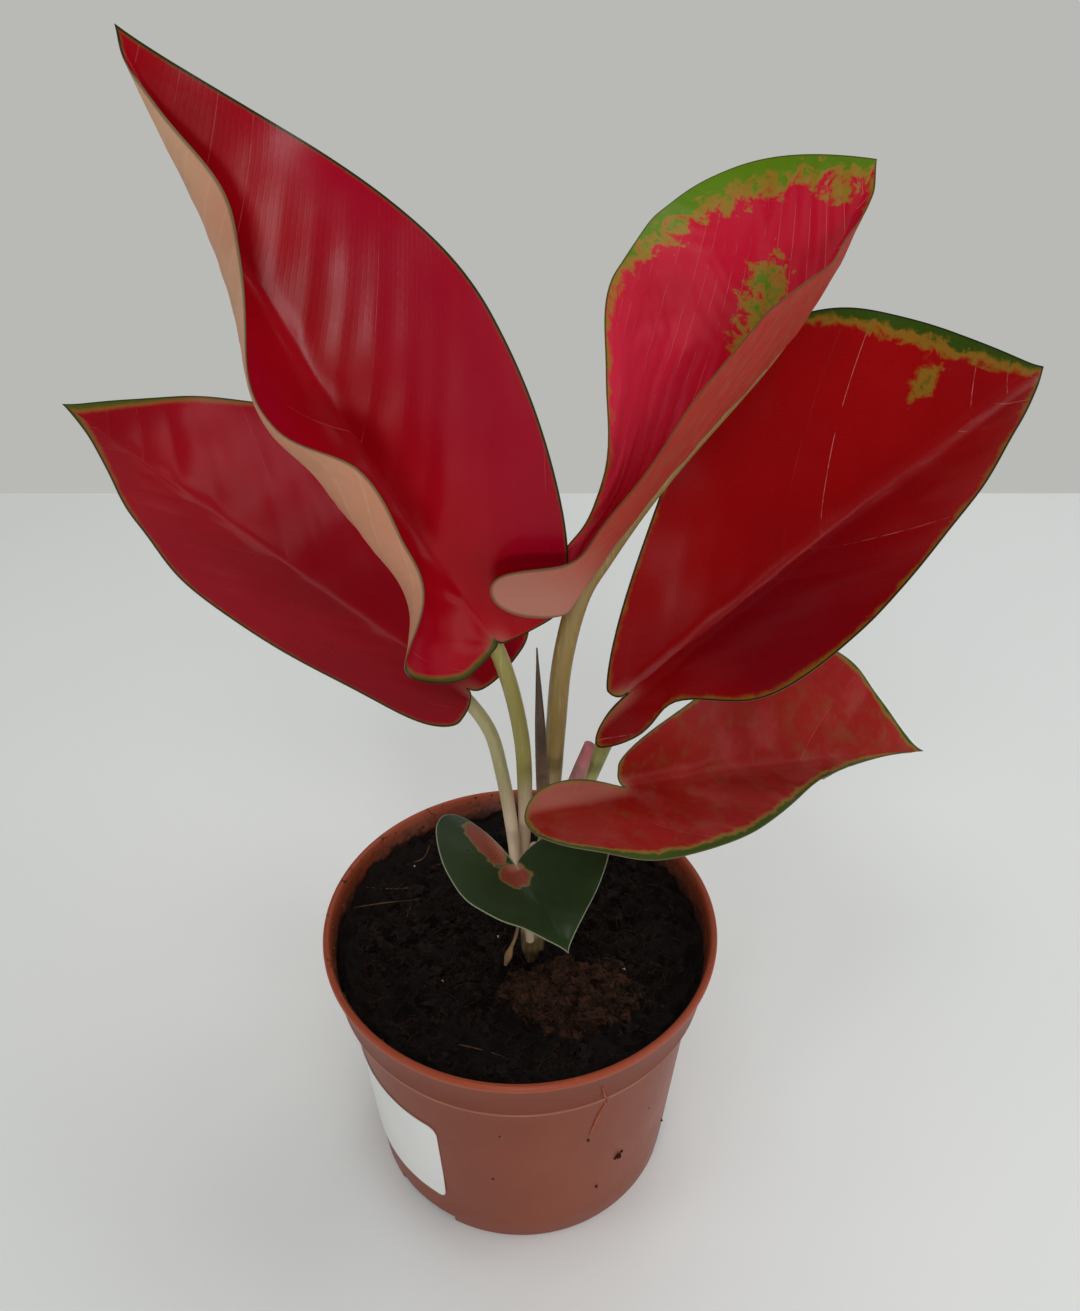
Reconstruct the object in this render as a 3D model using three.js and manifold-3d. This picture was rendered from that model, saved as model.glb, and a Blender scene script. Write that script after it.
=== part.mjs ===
import * as THREE from "three";
import { mergeVertices } from "three/addons/utils/BufferGeometryUtils.js";
import Module from "manifold-3d";

// Potted red aglaonema: six heart-shaped leaves on a short stem, in a filled terracotta-brown pot.
// Millimetres, z up, the pot's underside on z = 0 with its axis on the z axis, front towards -y.

// Pot
const RIM_RADIUS = 60;
const POT_HEIGHT = 93.4;
const BASE_RADIUS = 48.2;
const WALL = 1.5;
const FLOOR = 2;
const COLLAR_HEIGHT = 17.4;
const COLLAR_FOOT_RADIUS = 56.9;
const SHOULDER_RADIUS = 54.3;
const LIP = 0.6;
const NOTCH_HEIGHT = 3.4;
const NOTCH_SPAN = 28;
const NOTCH_AZIMUTHS = [-130, -10, 110];

// Soil
const SOIL_LEVEL = 83;
const SOIL_LUMP = 1.4;
const GAP = 0.3;
const STEM_HOLE_DEPTH = 13;

// Sticker on the wall
const LABEL_WIDTH = 56;
const LABEL_HEIGHT = 40;
const LABEL_FOOT = 15.2;
const LABEL_AZIMUTH = -151;
const LABEL_CORNER = 3.5;
const LABEL_THICKNESS = 0.6;

// Stem and leaves
const STEM_POINTS = [[3.5, -3, 70.5], [3.8, -2.4, 90], [4.3, -0.8, 108], [4.6, 0, 121]];
const STEM_RADII = [3.4, 3.5, 3.3, 2.6];
const BLADE_THICKNESS = 0.8;
const GROOVE = 4;
const BLADE_ROWS = 27;
const BLADE_COLUMNS = 6;
const LOBE_TURN = 0.14;
const WIDEST_TURN = 0.46;

// Each leaf: the midrib by its base, length and evenly spaced heading, rise and roll in degrees; then
// the left and right half's outline, fold and curl from the rear of the lobe to the tip, the petiole's
// path and radius, and how much further than the gap the rib keeps from the blade.
const LEAVES = {
  tall: {
    base: [-5, 0, 195.5], length: 159, heading: [170, 166, 162], rise: [56, 61, 65], roll: [-57, -57, -57],
    half: [42, 43], lobe: [2, 3], widest: [0.4, 0.46], point: [0.12, 0.12], fullness: [0.12, 0.25],
    shoulder: [0.5, 0.62], tuck: [0, 0], waist: [0, 0],
    fold: [[10, 22, 36, 28, 22, 30, 50, 55, 60, 80, 120], [15, 17, 14, 10, 5, 0]],
    curl: [
      [0, 40, 90, 115, 125, 85, 60, 120, 230, 270, 260],
      [10, 10, 10, 10, 10, 10, 10, 10, 10, 40, 160],
    ],
    petiole: [[0.9, 3.5, 112], [1.6, 3.4, 130], [1, 3.6, 160], [-3.2, 3.4, 184]],
    radius: 2.2, clearance: 0.05,
  },
  left: {
    base: [-14, 10, 173], length: 143, heading: [158, 154, 150], rise: [27, 25, 21], roll: [-8, -8, -8],
    half: [34, 46], lobe: [4, 6], widest: [0.42, 0.45], point: [0.18, 0.14], fullness: [0.12, 0.45],
    shoulder: [0.8, 0.8], tuck: [0, 0], waist: [0, 0],
    fold: [[20, 20, 20, 20, 20, 20], [20, 20, 20, 20, 20, 20]],
    curl: [[0, 0, 0, 0, 0, 0], [0, 0, 0, 0, 0, 0]],
    petiole: [[-1, -0.6, 108], [-1.6, 0.6, 124], [-4.6, 4, 147], [-8.6, 7.4, 162]],
    radius: 1.95, clearance: 0.1,
  },
  upper: {
    base: [13.4, 4.4, 204.4], length: 141, heading: [35, 40, 45], rise: [50, 30, 63], roll: [20, 20, 20],
    half: [44, 34], lobe: [1, 9], widest: [0.47, 0.5], point: [0.05, 0.12], fullness: [1.4, 0.12],
    shoulder: [0, 1.1], tuck: [0, -6], waist: [0.35, 0.5],
    fold: [[50, 78, 92, 74, 52, 36, 24, 14, 6, 0, 0], [126, 74, 78, 80, 80, 80]],
    curl: [[0, 0, 0, 0, 0, 0], [0, 10, 10, 10, 10, 10]],
    petiole: [[5.2, 4.6, 112], [8.4, 4.8, 130], [10.2, 5.6, 160], [12.2, 7, 186]],
    radius: 2.8, clearance: 0.2,
  },
  right: {
    base: [30, 8, 173], length: 154, heading: [29, 29, 29], rise: [28, 26, 24], roll: [25, 25, 25],
    half: [54, 35], lobe: [4, 16], widest: [0.62, 0.38], point: [0.1, 0.1], fullness: [0.4, 0.3],
    shoulder: [0.15, 0.4], tuck: [0, 0], waist: [0, 0.45],
    fold: [[45, 40, 28, 28, 28, 28], [20, 28, 33, 35, 35, 35]],
    curl: [[0, 0, 0, 0, 0, 0], [60, -10, -10, 0, 0, 0]],
    petiole: [[8.9, 2, 110], [13.4, 3.4, 128], [20.4, 5.4, 147], [26, 7.6, 161]],
    radius: 2.4, clearance: 0.2,
  },
  low: {
    base: [29.4, -5, 150.6], length: 110, heading: [24, 24, 24], rise: [-8, -12, -16], roll: [25, 25, 25],
    half: [34, 31], lobe: [2, 34], widest: [0.68, 0.03], point: [0.08, 0.55], fullness: [0.12, 0.02],
    shoulder: [0.4, 0.9], tuck: [0, 10], waist: [0, 0],
    fold: [[60, 50, 25, 25, 25, 25], [42, 30, 30, 32, 30, 25]],
    curl: [[0, 0, 0, 0, 0, 0], [0, 0, 0, 0, 0, 0]],
    petiole: [[9.3, -2.4, 104], [12.6, -3.4, 120], [19.6, -4.6, 136], [25.6, -5, 144]],
    radius: 1.9, clearance: 0.3,
  },
  small: {
    base: [0, -18, 132], length: 29, heading: [-62, -62, -62], rise: [-5, -10, -15], roll: [0, 0, 0],
    half: [25, 23], lobe: [5, 24], widest: [0.2, 0.2], point: [0.2, 0.3], fullness: [0.12, 0.12],
    shoulder: [0.8, 0.8], tuck: [0, 0], waist: [0, 0],
    fold: [[20, 20, 20, 20, 20, 20], [25, 25, 25, 25, 25, 25]],
    curl: [[0, 0, 0, 0, 0, 0], [0, 0, 0, 0, 0, 0]],
    petiole: [[3, -7.3, 92], [2.4, -8.6, 104], [1.4, -11.6, 118], [0.6, -15, 127]],
    radius: 1.3, clearance: 0.1,
  },
};

const degrees = Math.PI / 180;

function slot(name, colour, roughness) {
  const material = new THREE.MeshStandardMaterial({ color: colour, roughness, metalness: 0 });
  material.name = name;
  return material;
}

function potMaterial() {
  return slot("pot_terracotta", 0x9c4a30, 0.5);
}

function soilMaterial() {
  return slot("soil_dark", 0x1f1410, 0.95);
}

function labelMaterial() {
  return slot("label_white", 0xe6e6e2, 0.6);
}

function stemMaterial() {
  return slot("stem_cream", 0xc9b394, 0.5);
}

function petioleMaterial() {
  return slot("petiole_green", 0xa9a377, 0.45);
}

function rollMaterial() {
  return slot("new_leaf_olive", 0x6b5440, 0.5);
}

function sheathMaterial() {
  return slot("sheath_pink", 0xc98f83, 0.5);
}

function rootMaterial() {
  return slot("root_tan", 0x8d6a48, 0.8);
}

function bladeMaterial(name) {
  const colours = {
    tall: 0x9e1323, left: 0xa01a2c, upper: 0xb81f3d, right: 0xa10f18, low: 0x96262b, small: 0x24402a,
  };
  return slot(`blade_${name}`, colours[name], 0.35);
}

function node(name, geometry, material) {
  const mesh = new THREE.Mesh(geometry, material);
  mesh.name = name;
  return mesh;
}

// A smooth curve through evenly spaced values, x from 0 to 1.
function station(values, x) {
  const last = values.length - 1;
  const place = THREE.MathUtils.clamp(x, 0, 1) * last;
  const i = Math.min(Math.floor(place), last - 1);
  const f = place - i;
  const a = values[Math.max(i - 1, 0)];
  const b = values[i];
  const c = values[i + 1];
  const d = values[Math.min(i + 2, last)];
  return b + 0.5 * f * (c - a + f * (2 * a - 5 * b + 4 * c - d + f * (3 * (b - c) + d - a)));
}

function bezier(points, t) {
  const [a, b, c, d] = points;
  const u = 1 - t;
  const mix = (k) => u ** 3 * a[k] + 3 * u * u * t * b[k] + 3 * u * t * t * c[k] + t ** 3 * d[k];
  return [mix(0), mix(1)];
}

// Edge of one half of the flat blade: how far along the midrib and how far out, t from base to tip.
// The waist draws the edge in just past the lobe.
function outline(leaf, side, t) {
  const [along, out] = plainOutline(leaf, side, t);
  const share = (along + leaf.lobe[side]) / (leaf.length + leaf.lobe[side]);
  return [along, out * (1 - leaf.waist[side] * Math.exp(-(((share - 0.13) / 0.06) ** 2)))];
}

function plainOutline(leaf, side, t) {
  const length = leaf.length;
  const width = leaf.half[side];
  const rear = -leaf.lobe[side];
  const widest = leaf.widest[side] * length;
  const shoulder = leaf.shoulder[side] * width;
  const tuck = leaf.tuck[side];
  const lobe = [[0, 0], [0.6 * rear, -tuck], [rear, 0.2 * shoulder - tuck], [rear, 0.52 * shoulder]];
  const flank = [
    [rear, 0.52 * shoulder],
    [rear, shoulder],
    [widest - 0.5 * (widest - rear), width],
    [widest, width],
  ];
  const front = [
    [widest, width],
    [widest + 0.38 * (length - widest), width],
    [length - leaf.point[side] * length, leaf.fullness[side] * width],
    [length, 0],
  ];
  if (t < LOBE_TURN) return bezier(lobe, t / LOBE_TURN);
  if (t < WIDEST_TURN) return bezier(flank, (t - LOBE_TURN) / (WIDEST_TURN - LOBE_TURN));
  return bezier(front, (t - WIDEST_TURN) / (1 - WIDEST_TURN));
}

// Where the vein that ends at outline place t leaves the midrib.
function veinFoot(leaf, t) {
  return leaf.length * THREE.MathUtils.clamp((t - 0.1) / 0.9, 0, 1) ** 1.15;
}

function direction(leaf, x) {
  const heading = station(leaf.heading, x) * degrees;
  const rise = station(leaf.rise, x) * degrees;
  return new THREE.Vector3(
    Math.cos(rise) * Math.cos(heading),
    Math.cos(rise) * Math.sin(heading),
    Math.sin(rise),
  );
}

// Point on the midrib with the leaf's forward, left and upper-face directions there.
function midrib(leaf, s) {
  const steps = 40;
  const reach = THREE.MathUtils.clamp(s, 0, leaf.length) / steps;
  const point = new THREE.Vector3(...leaf.base);
  for (let i = 0; i < steps; i += 1) {
    point.addScaledVector(direction(leaf, ((i + 0.5) * reach) / leaf.length), reach);
  }
  const forward = direction(leaf, s / leaf.length);
  point.addScaledVector(forward, Math.min(s, 0));
  const heading = station(leaf.heading, s / leaf.length) * degrees;
  const roll = station(leaf.roll, s / leaf.length) * degrees;
  const level = new THREE.Vector3(-Math.sin(heading), Math.cos(heading), 0);
  const above = forward.clone().cross(level);
  const left = level.clone().multiplyScalar(Math.cos(roll)).addScaledVector(above, Math.sin(roll));
  const face = above.multiplyScalar(Math.cos(roll)).addScaledVector(level, -Math.sin(roll));
  return { point, forward, left, face };
}

// Cross-section of a half blade: sideways and upward offset at arc distance w from the midrib. The
// fold builds up over the groove beside the midrib, the curl all the way to the edge.
function section(fold, bend, w) {
  const tight = fold / GROOVE + bend;
  const inner = THREE.MathUtils.clamp(w, -GROOVE, GROOVE);
  const arc = (rate, from, reach) => {
    const turned = rate * reach;
    if (Math.abs(turned) < 1e-6) return [Math.cos(from) * reach, Math.sin(from) * reach];
    return [
      (Math.sin(from + turned) - Math.sin(from)) / rate,
      (Math.cos(from) - Math.cos(from + turned)) / rate,
    ];
  };
  const first = arc(tight, 0, inner);
  const second = arc(bend, tight * inner, w - inner);
  return [first[0] + second[0], first[1] + second[1]];
}

// Point on the blade's middle surface for flat place s along the midrib, w out from it.
function bladePoint(leaf, side, s, w) {
  const { point, left, face } = midrib(leaf, s);
  const rear = leaf.lobe[side];
  const x = (s + rear) / (leaf.length + rear);
  const fold = station(leaf.fold[side], x) * degrees;
  const bend = (station(leaf.curl[side], x) * degrees) / leaf.half[side];
  const [across, up] = section(fold, bend, w);
  return point.addScaledVector(left, side === 0 ? across : -across).addScaledVector(face, up);
}

// The middle surface as one net of points shared along the midrib, with its triangles.
function bladeNet(leaf) {
  const points = [midrib(leaf, 0).point, midrib(leaf, leaf.length).point];
  const feet = new Map();
  const faces = [];
  const footIndex = (t) => {
    const s = veinFoot(leaf, t);
    if (s <= 0) return 0;
    if (!feet.has(s)) feet.set(s, points.push(midrib(leaf, s).point) - 1);
    return feet.get(s);
  };
  for (const side of [0, 1]) {
    const rows = [];
    for (let j = 0; j <= BLADE_ROWS; j += 1) {
      const t = j / BLADE_ROWS;
      const [alongEdge, outEdge] = outline(leaf, side, t);
      const foot = veinFoot(leaf, t);
      const row = [];
      for (let k = 0; k <= BLADE_COLUMNS; k += 1) {
        const v = (k / BLADE_COLUMNS) ** 1.35;
        if (j === 0) row.push(0);
        else if (j === BLADE_ROWS) row.push(1);
        else if (k === 0) row.push(footIndex(t));
        else row.push(points.push(bladePoint(leaf, side, foot + (alongEdge - foot) * v, outEdge * v)) - 1);
      }
      rows.push(row);
    }
    for (let j = 0; j < BLADE_ROWS; j += 1) {
      for (let k = 0; k < BLADE_COLUMNS; k += 1) {
        const quad = [rows[j][k], rows[j + 1][k], rows[j + 1][k + 1], rows[j][k + 1]];
        for (const corners of [[0, 1, 2], [0, 2, 3]]) {
          const face = corners.map((c) => quad[c]);
          if (side === 1) face.reverse();
          if (new Set(face).size === 3) faces.push(face);
        }
      }
    }
  }
  return { points, faces };
}

function pointNormals(points, faces) {
  const normals = points.map(() => new THREE.Vector3());
  for (const [a, b, c] of faces) {
    const turn = points[b].clone().sub(points[a]).cross(points[c].clone().sub(points[a]));
    for (const i of [a, b, c]) normals[i].add(turn);
  }
  return normals.map((n) => n.normalize());
}

function meshGeometry(points, faces) {
  const geometry = new THREE.BufferGeometry();
  const flat = points.flatMap((p) => p.toArray());
  geometry.setAttribute("position", new THREE.Float32BufferAttribute(flat, 3));
  geometry.setIndex(faces.flat());
  return geometry;
}

// The blade as a closed solid: the net moved up and down by half the thickness, joined round the rim.
function bladeGeometry(leaf) {
  const { points, faces } = bladeNet(leaf);
  const normals = pointNormals(points, faces);
  const count = points.length;
  const upper = points.map((p, i) => p.clone().addScaledVector(normals[i], BLADE_THICKNESS / 2));
  const lower = points.map((p, i) => p.clone().addScaledVector(normals[i], -BLADE_THICKNESS / 2));
  const edges = new Set(faces.flatMap(([a, b, c]) => [`${a},${b}`, `${b},${c}`, `${c},${a}`]));
  const rim = [...edges].map((e) => e.split(",").map(Number)).filter(([a, b]) => !edges.has(`${b},${a}`));
  const solid = faces.flatMap(([a, b, c]) => [[a, b, c], [c + count, b + count, a + count]]);
  for (const [a, b] of rim) solid.push([b, a, a + count], [b, a + count, b + count]);
  return meshGeometry([...upper, ...lower], solid);
}

// A round rod along a smooth curve through the points, its radius from evenly spaced values.
function rodGeometry(curvePoints, radii, rings, sides) {
  const vectors = curvePoints.map((p) => (p.isVector3 ? p : new THREE.Vector3(...p)));
  const curve = new THREE.CatmullRomCurve3(vectors, false, "centripetal");
  const frames = curve.computeFrenetFrames(rings, false);
  const points = [];
  const faces = [];
  for (let i = 0; i <= rings; i += 1) {
    const centre = curve.getPointAt(i / rings);
    const radius = station(radii, i / rings);
    for (let k = 0; k < sides; k += 1) {
      const angle = (2 * Math.PI * k) / sides;
      points.push(centre.clone()
        .addScaledVector(frames.normals[i], radius * Math.cos(angle))
        .addScaledVector(frames.binormals[i], radius * Math.sin(angle)));
    }
  }
  for (let i = 0; i < rings; i += 1) {
    for (let k = 0; k < sides; k += 1) {
      const next = (k + 1) % sides;
      const [a, b, c, d] = [i * sides + k, i * sides + next, (i + 1) * sides + next, (i + 1) * sides + k];
      faces.push([a, b, c], [a, c, d]);
    }
  }
  const start = points.push(curve.getPointAt(0)) - 1;
  const end = points.push(curve.getPointAt(1)) - 1;
  for (let k = 0; k < sides; k += 1) {
    const next = (k + 1) % sides;
    faces.push([start, next, k], [end, rings * sides + k, rings * sides + next]);
  }
  return meshGeometry(points, faces);
}

// A petiole that rises beside the stem and runs on below the blade as its midrib.
function petioleGeometry(leaf) {
  const path = leaf.petiole.map((p) => new THREE.Vector3(...p));
  const radiusAt = (x) => leaf.radius * (1 - 0.72 * x);
  for (const x of [0.03, 0.1, 0.2, 0.3, 0.4, 0.5, 0.6, 0.7]) {
    const { point, face } = midrib(leaf, x * leaf.length);
    const drop = radiusAt(x) + GAP + BLADE_THICKNESS / 2 + leaf.clearance;
    path.push(point.addScaledVector(face, -drop));
  }
  const curve = new THREE.CatmullRomCurve3(path, false, "centripetal");
  const ribShare = 1 - (leaf.length * 0.7) / curve.getLength();
  const radii = [];
  for (let i = 0; i <= 12; i += 1) {
    const u = i / 12;
    const x = Math.max(0, (u - ribShare) / (1 - ribShare)) * 0.7;
    const flare = THREE.MathUtils.smoothstep(u, 0, ribShare * 0.45);
    radii.push(THREE.MathUtils.lerp(Math.min(1.6, leaf.radius), radiusAt(x), flare));
  }
  return rodGeometry(path, radii, 30, 8);
}

// A closed profile of [radius, height] points turned about z.
function turnedGeometry(profile, segments) {
  const points = [];
  const faces = [];
  const rings = profile.map(([radius, height]) => {
    if (radius === 0) return new Array(segments).fill(points.push(new THREE.Vector3(0, 0, height)) - 1);
    const ring = [];
    for (let k = 0; k < segments; k += 1) {
      const angle = (2 * Math.PI * k) / segments;
      ring.push(points.push(new THREE.Vector3(
        radius * Math.cos(angle), radius * Math.sin(angle), height)) - 1);
    }
    return ring;
  });
  for (let i = 0; i < rings.length; i += 1) {
    const [lower, upper] = [rings[i], rings[(i + 1) % rings.length]];
    for (let k = 0; k < segments; k += 1) {
      const next = (k + 1) % segments;
      for (const face of [[lower[k], lower[next], upper[next]], [lower[k], upper[next], upper[k]]]) {
        if (new Set(face).size === 3) faces.push(face);
      }
    }
  }
  return meshGeometry(points, faces);
}

const wasm = await Module();
wasm.setup();

function toSolid(geometry) {
  const bare = geometry.clone();
  bare.deleteAttribute("normal");
  bare.deleteAttribute("uv");
  const merged = mergeVertices(bare, 1e-4);
  return new wasm.Manifold(new wasm.Mesh({
    numProp: 3,
    vertProperties: new Float32Array(merged.attributes.position.array),
    triVerts: new Uint32Array(merged.index.array),
  }));
}

function fromSolid(solid) {
  const mesh = solid.getMesh();
  const geometry = new THREE.BufferGeometry();
  geometry.setAttribute("position", new THREE.Float32BufferAttribute(mesh.vertProperties, 3));
  geometry.setIndex([...mesh.triVerts]);
  return geometry;
}

// Inner radius of the pot at height z.
function boreRadius(z) {
  const shoulder = POT_HEIGHT - COLLAR_HEIGHT;
  if (z < shoulder + WALL) {
    return BASE_RADIUS + ((SHOULDER_RADIUS - BASE_RADIUS) * z) / shoulder - WALL;
  }
  const climb = (z - shoulder) / COLLAR_HEIGHT;
  return COLLAR_FOOT_RADIUS + (RIM_RADIUS - LIP - COLLAR_FOOT_RADIUS) * climb - WALL;
}

function potGeometry() {
  const shoulder = POT_HEIGHT - COLLAR_HEIGHT;
  const profile = [
    [0, 0],
    [BASE_RADIUS - 1, 0],
    [BASE_RADIUS, 1],
    [SHOULDER_RADIUS, shoulder],
    [COLLAR_FOOT_RADIUS, shoulder],
    [RIM_RADIUS - LIP, POT_HEIGHT - 2.2],
    [RIM_RADIUS, POT_HEIGHT - 1.6],
    [RIM_RADIUS, POT_HEIGHT - 0.5],
    [RIM_RADIUS - 0.5, POT_HEIGHT],
    [RIM_RADIUS - LIP - WALL + 0.4, POT_HEIGHT],
    [boreRadius(POT_HEIGHT - 0.5), POT_HEIGHT - 0.5],
    [boreRadius(shoulder + WALL), shoulder + WALL],
    [boreRadius(shoulder + WALL - 0.01), shoulder + WALL - 0.01],
    [boreRadius(FLOOR), FLOOR],
    [0, FLOOR],
  ];
  let pot = toSolid(turnedGeometry(profile, 72));
  for (const azimuth of NOTCH_AZIMUTHS) pot = pot.subtract(toSolid(notchGeometry(azimuth)));
  return fromSolid(pot);
}

// A drain notch: a curved bar through the bottom corner of the wall.
function notchGeometry(azimuth) {
  const shape = new THREE.Shape();
  const half = (NOTCH_SPAN / 2) * degrees;
  shape.absarc(0, 0, BASE_RADIUS + 3, -half, half, false);
  shape.absarc(0, 0, BASE_RADIUS - 4, half, -half, true);
  const options = { depth: NOTCH_HEIGHT + 1, bevelEnabled: false, curveSegments: 8 };
  const bar = new THREE.ExtrudeGeometry(shape, options);
  return bar.translate(0, 0, -1).rotateZ(azimuth * degrees);
}

// Height of the lumpy soil top: a few waves of different lengths added up.
function soilHeight(x, y) {
  const waves = Math.sin(0.31 * x + 0.17 * y) + Math.sin(0.23 * y - 0.12 * x + 1.3)
    + 0.6 * Math.sin(0.61 * x - 0.47 * y + 0.4) + 0.5 * Math.sin(0.55 * x + 0.83 * y + 2.1);
  return SOIL_LEVEL + (SOIL_LUMP * waves) / 3.1;
}

// A tapered plug that fills the pot, with a lumpy top and a plain hole where the stem stands.
function soilGeometry() {
  const shoulder = POT_HEIGHT - COLLAR_HEIGHT;
  const step = shoulder + WALL + GAP;
  const topRadius = boreRadius(SOIL_LEVEL - 1.2) - GAP - 0.25;
  const rings = [0.97, 0.86, 0.74, 0.61, 0.48, 0.35, 0.22];
  const profile = [
    [0, FLOOR + GAP],
    [boreRadius(FLOOR) - GAP - 0.7, FLOOR + GAP],
    [boreRadius(step - 0.8) - GAP - 1, step],
    [boreRadius(step) - GAP - 0.25, step],
    [topRadius, SOIL_LEVEL - 1.2],
    ...rings.map((r) => [topRadius * r, SOIL_LEVEL]),
    [0, SOIL_LEVEL],
  ];
  const plug = turnedGeometry(profile, 48);
  const position = plug.attributes.position;
  for (let i = 0; i < position.count; i += 1) {
    if (position.getZ(i) > SOIL_LEVEL - 0.1) {
      position.setZ(i, soilHeight(position.getX(i), position.getY(i)));
    }
  }
  const [x, y] = STEM_POINTS[0];
  const hole = new THREE.CylinderGeometry(STEM_RADII[1] + 1, STEM_RADII[1] + 1, STEM_HOLE_DEPTH + 10, 24)
    .rotateX(Math.PI / 2)
    .translate(x, y, SOIL_LEVEL - STEM_HOLE_DEPTH + (STEM_HOLE_DEPTH + 10) / 2);
  return fromSolid(toSolid(plug).subtract(toSolid(hole)));
}

// Radius of the pot's outer wall below the collar.
function wallRadius(z) {
  return BASE_RADIUS + ((SHOULDER_RADIUS - BASE_RADIUS) * z) / (POT_HEIGHT - COLLAR_HEIGHT);
}

// The blank sticker: a round-cornered sheet bent round the wall.
function labelGeometry() {
  const columns = 28;
  const rows = 8;
  const points = [];
  const faces = [];
  const inset = (u) => {
    const fromEnd = Math.min(u, 1 - u) * LABEL_WIDTH;
    if (fromEnd >= LABEL_CORNER) return 0;
    return LABEL_CORNER - Math.sqrt(LABEL_CORNER ** 2 - (LABEL_CORNER - fromEnd) ** 2);
  };
  for (const lift of [GAP + LABEL_THICKNESS, GAP]) {
    for (let i = 0; i <= columns; i += 1) {
      const u = 0.5 - 0.5 * Math.cos((Math.PI * i) / columns);
      for (let j = 0; j <= rows; j += 1) {
        const low = Math.min(inset(u), LABEL_CORNER * 0.98);
        const z = LABEL_FOOT + low + ((LABEL_HEIGHT - 2 * low) * j) / rows;
        const radius = wallRadius(z) + lift + 0.05;
        const angle = LABEL_AZIMUTH * degrees + ((u - 0.5) * LABEL_WIDTH) / BASE_RADIUS;
        points.push(new THREE.Vector3(radius * Math.cos(angle), radius * Math.sin(angle), z));
      }
    }
  }
  const count = (columns + 1) * (rows + 1);
  for (let i = 0; i < columns; i += 1) {
    for (let j = 0; j < rows; j += 1) {
      const a = i * (rows + 1) + j;
      const b = a + rows + 1;
      faces.push([a, b, b + 1], [a, b + 1, a + 1]);
    }
  }
  const edges = new Set(faces.flatMap(([a, b, c]) => [`${a},${b}`, `${b},${c}`, `${c},${a}`]));
  const rim = [...edges].map((e) => e.split(",").map(Number)).filter(([a, b]) => !edges.has(`${b},${a}`));
  const solid = faces.flatMap(([a, b, c]) => [[a, b, c], [c + count, b + count, a + count]]);
  for (const [a, b] of rim) solid.push([b, a, a + count], [b, a + count, b + count]);
  return meshGeometry(points, solid);
}

function stemGeometry() {
  return rodGeometry(STEM_POINTS, STEM_RADII, 12, 16);
}

// The next leaf, still rolled into a spike, standing in front of the stem.
function newLeafGeometry() {
  const path = [[6.6, -4.9, 112], [7.4, -5.2, 130], [6.4, -3.4, 160], [5.2, 0, 193.6]];
  return rodGeometry(path, [1.4, 1.9, 1.8, 1.3, 0.4], 20, 8);
}

// The dry sheath that stands up beside the right leaf's petiole.
function sheathGeometry() {
  const path = [[8.2, -0.8, 117], [9.2, -1.2, 128], [12.4, -0.4, 138], [16.4, 0.8, 149], [19.6, 1.6, 160.5]];
  return rodGeometry(path, [0.7, 1.2, 1.8, 1.9, 1.7, 1.1], 20, 8);
}

// A dry root that hangs from the stem to the soil, ending in a small bulb.
function rootGeometry() {
  const path = [[1.2, -4.7, 100], [-0.2, -6.3, 98], [-1.4, -8.2, 94], [-3, -9.8, 90], [-4.4, -11, 85]];
  return rodGeometry(path, [0.5, 0.5, 0.5, 0.55, 1.2, 0.6], 20, 8);
}

const group = new THREE.Group();
group.add(node("pot", potGeometry(), potMaterial()));
group.add(node("soil", soilGeometry(), soilMaterial()));
group.add(node("label", labelGeometry(), labelMaterial()));
group.add(node("stem", stemGeometry(), stemMaterial()));
group.add(node("new_leaf_roll", newLeafGeometry(), rollMaterial()));
group.add(node("stem_sheath", sheathGeometry(), sheathMaterial()));
group.add(node("root_thread", rootGeometry(), rootMaterial()));
for (const [name, leaf] of Object.entries(LEAVES)) {
  group.add(node(`leaf_${name}_blade`, bladeGeometry(leaf), bladeMaterial(name)));
  group.add(node(`leaf_${name}_petiole`, petioleGeometry(leaf), petioleMaterial()));
}

export default group;
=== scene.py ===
import math

import bmesh
import bpy
import numpy as np
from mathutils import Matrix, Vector, noise


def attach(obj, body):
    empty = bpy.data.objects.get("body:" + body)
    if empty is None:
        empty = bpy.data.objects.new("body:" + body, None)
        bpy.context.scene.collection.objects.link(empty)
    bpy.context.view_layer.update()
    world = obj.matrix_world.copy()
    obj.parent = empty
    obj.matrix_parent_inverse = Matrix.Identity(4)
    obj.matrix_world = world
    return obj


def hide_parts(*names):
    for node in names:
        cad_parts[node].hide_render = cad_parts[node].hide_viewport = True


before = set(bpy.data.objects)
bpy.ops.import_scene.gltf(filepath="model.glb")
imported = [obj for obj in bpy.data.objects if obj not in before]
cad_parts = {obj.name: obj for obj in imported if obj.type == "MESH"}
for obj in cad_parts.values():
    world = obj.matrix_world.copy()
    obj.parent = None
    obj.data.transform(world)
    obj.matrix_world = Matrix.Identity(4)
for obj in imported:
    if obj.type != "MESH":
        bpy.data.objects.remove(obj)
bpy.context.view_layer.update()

# Potted red aglaonema: six leaves on a short stem in a terracotta-brown nursery pot.
# The dictionaries hold millimetres and degrees, the meshes are made in metres.
mm = 0.001
collection = bpy.context.scene.collection


def report(stage):
    print("aglaonema:", stage)


# node trees

class Signal:
    # an output socket that arithmetic can be done on
    def __init__(self, recipe, socket):
        self.recipe = recipe
        self.socket = socket

    def __add__(self, other):
        return self.recipe.maths("ADD", self, other)

    def __sub__(self, other):
        return self.recipe.maths("SUBTRACT", self, other)

    def __rsub__(self, other):
        return self.recipe.maths("SUBTRACT", other, self)

    def __mul__(self, other):
        return self.recipe.maths("MULTIPLY", self, other)

    __radd__ = __add__
    __rmul__ = __mul__

    def output(self, name):
        return Signal(self.recipe, self.socket.node.outputs[name])


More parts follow.
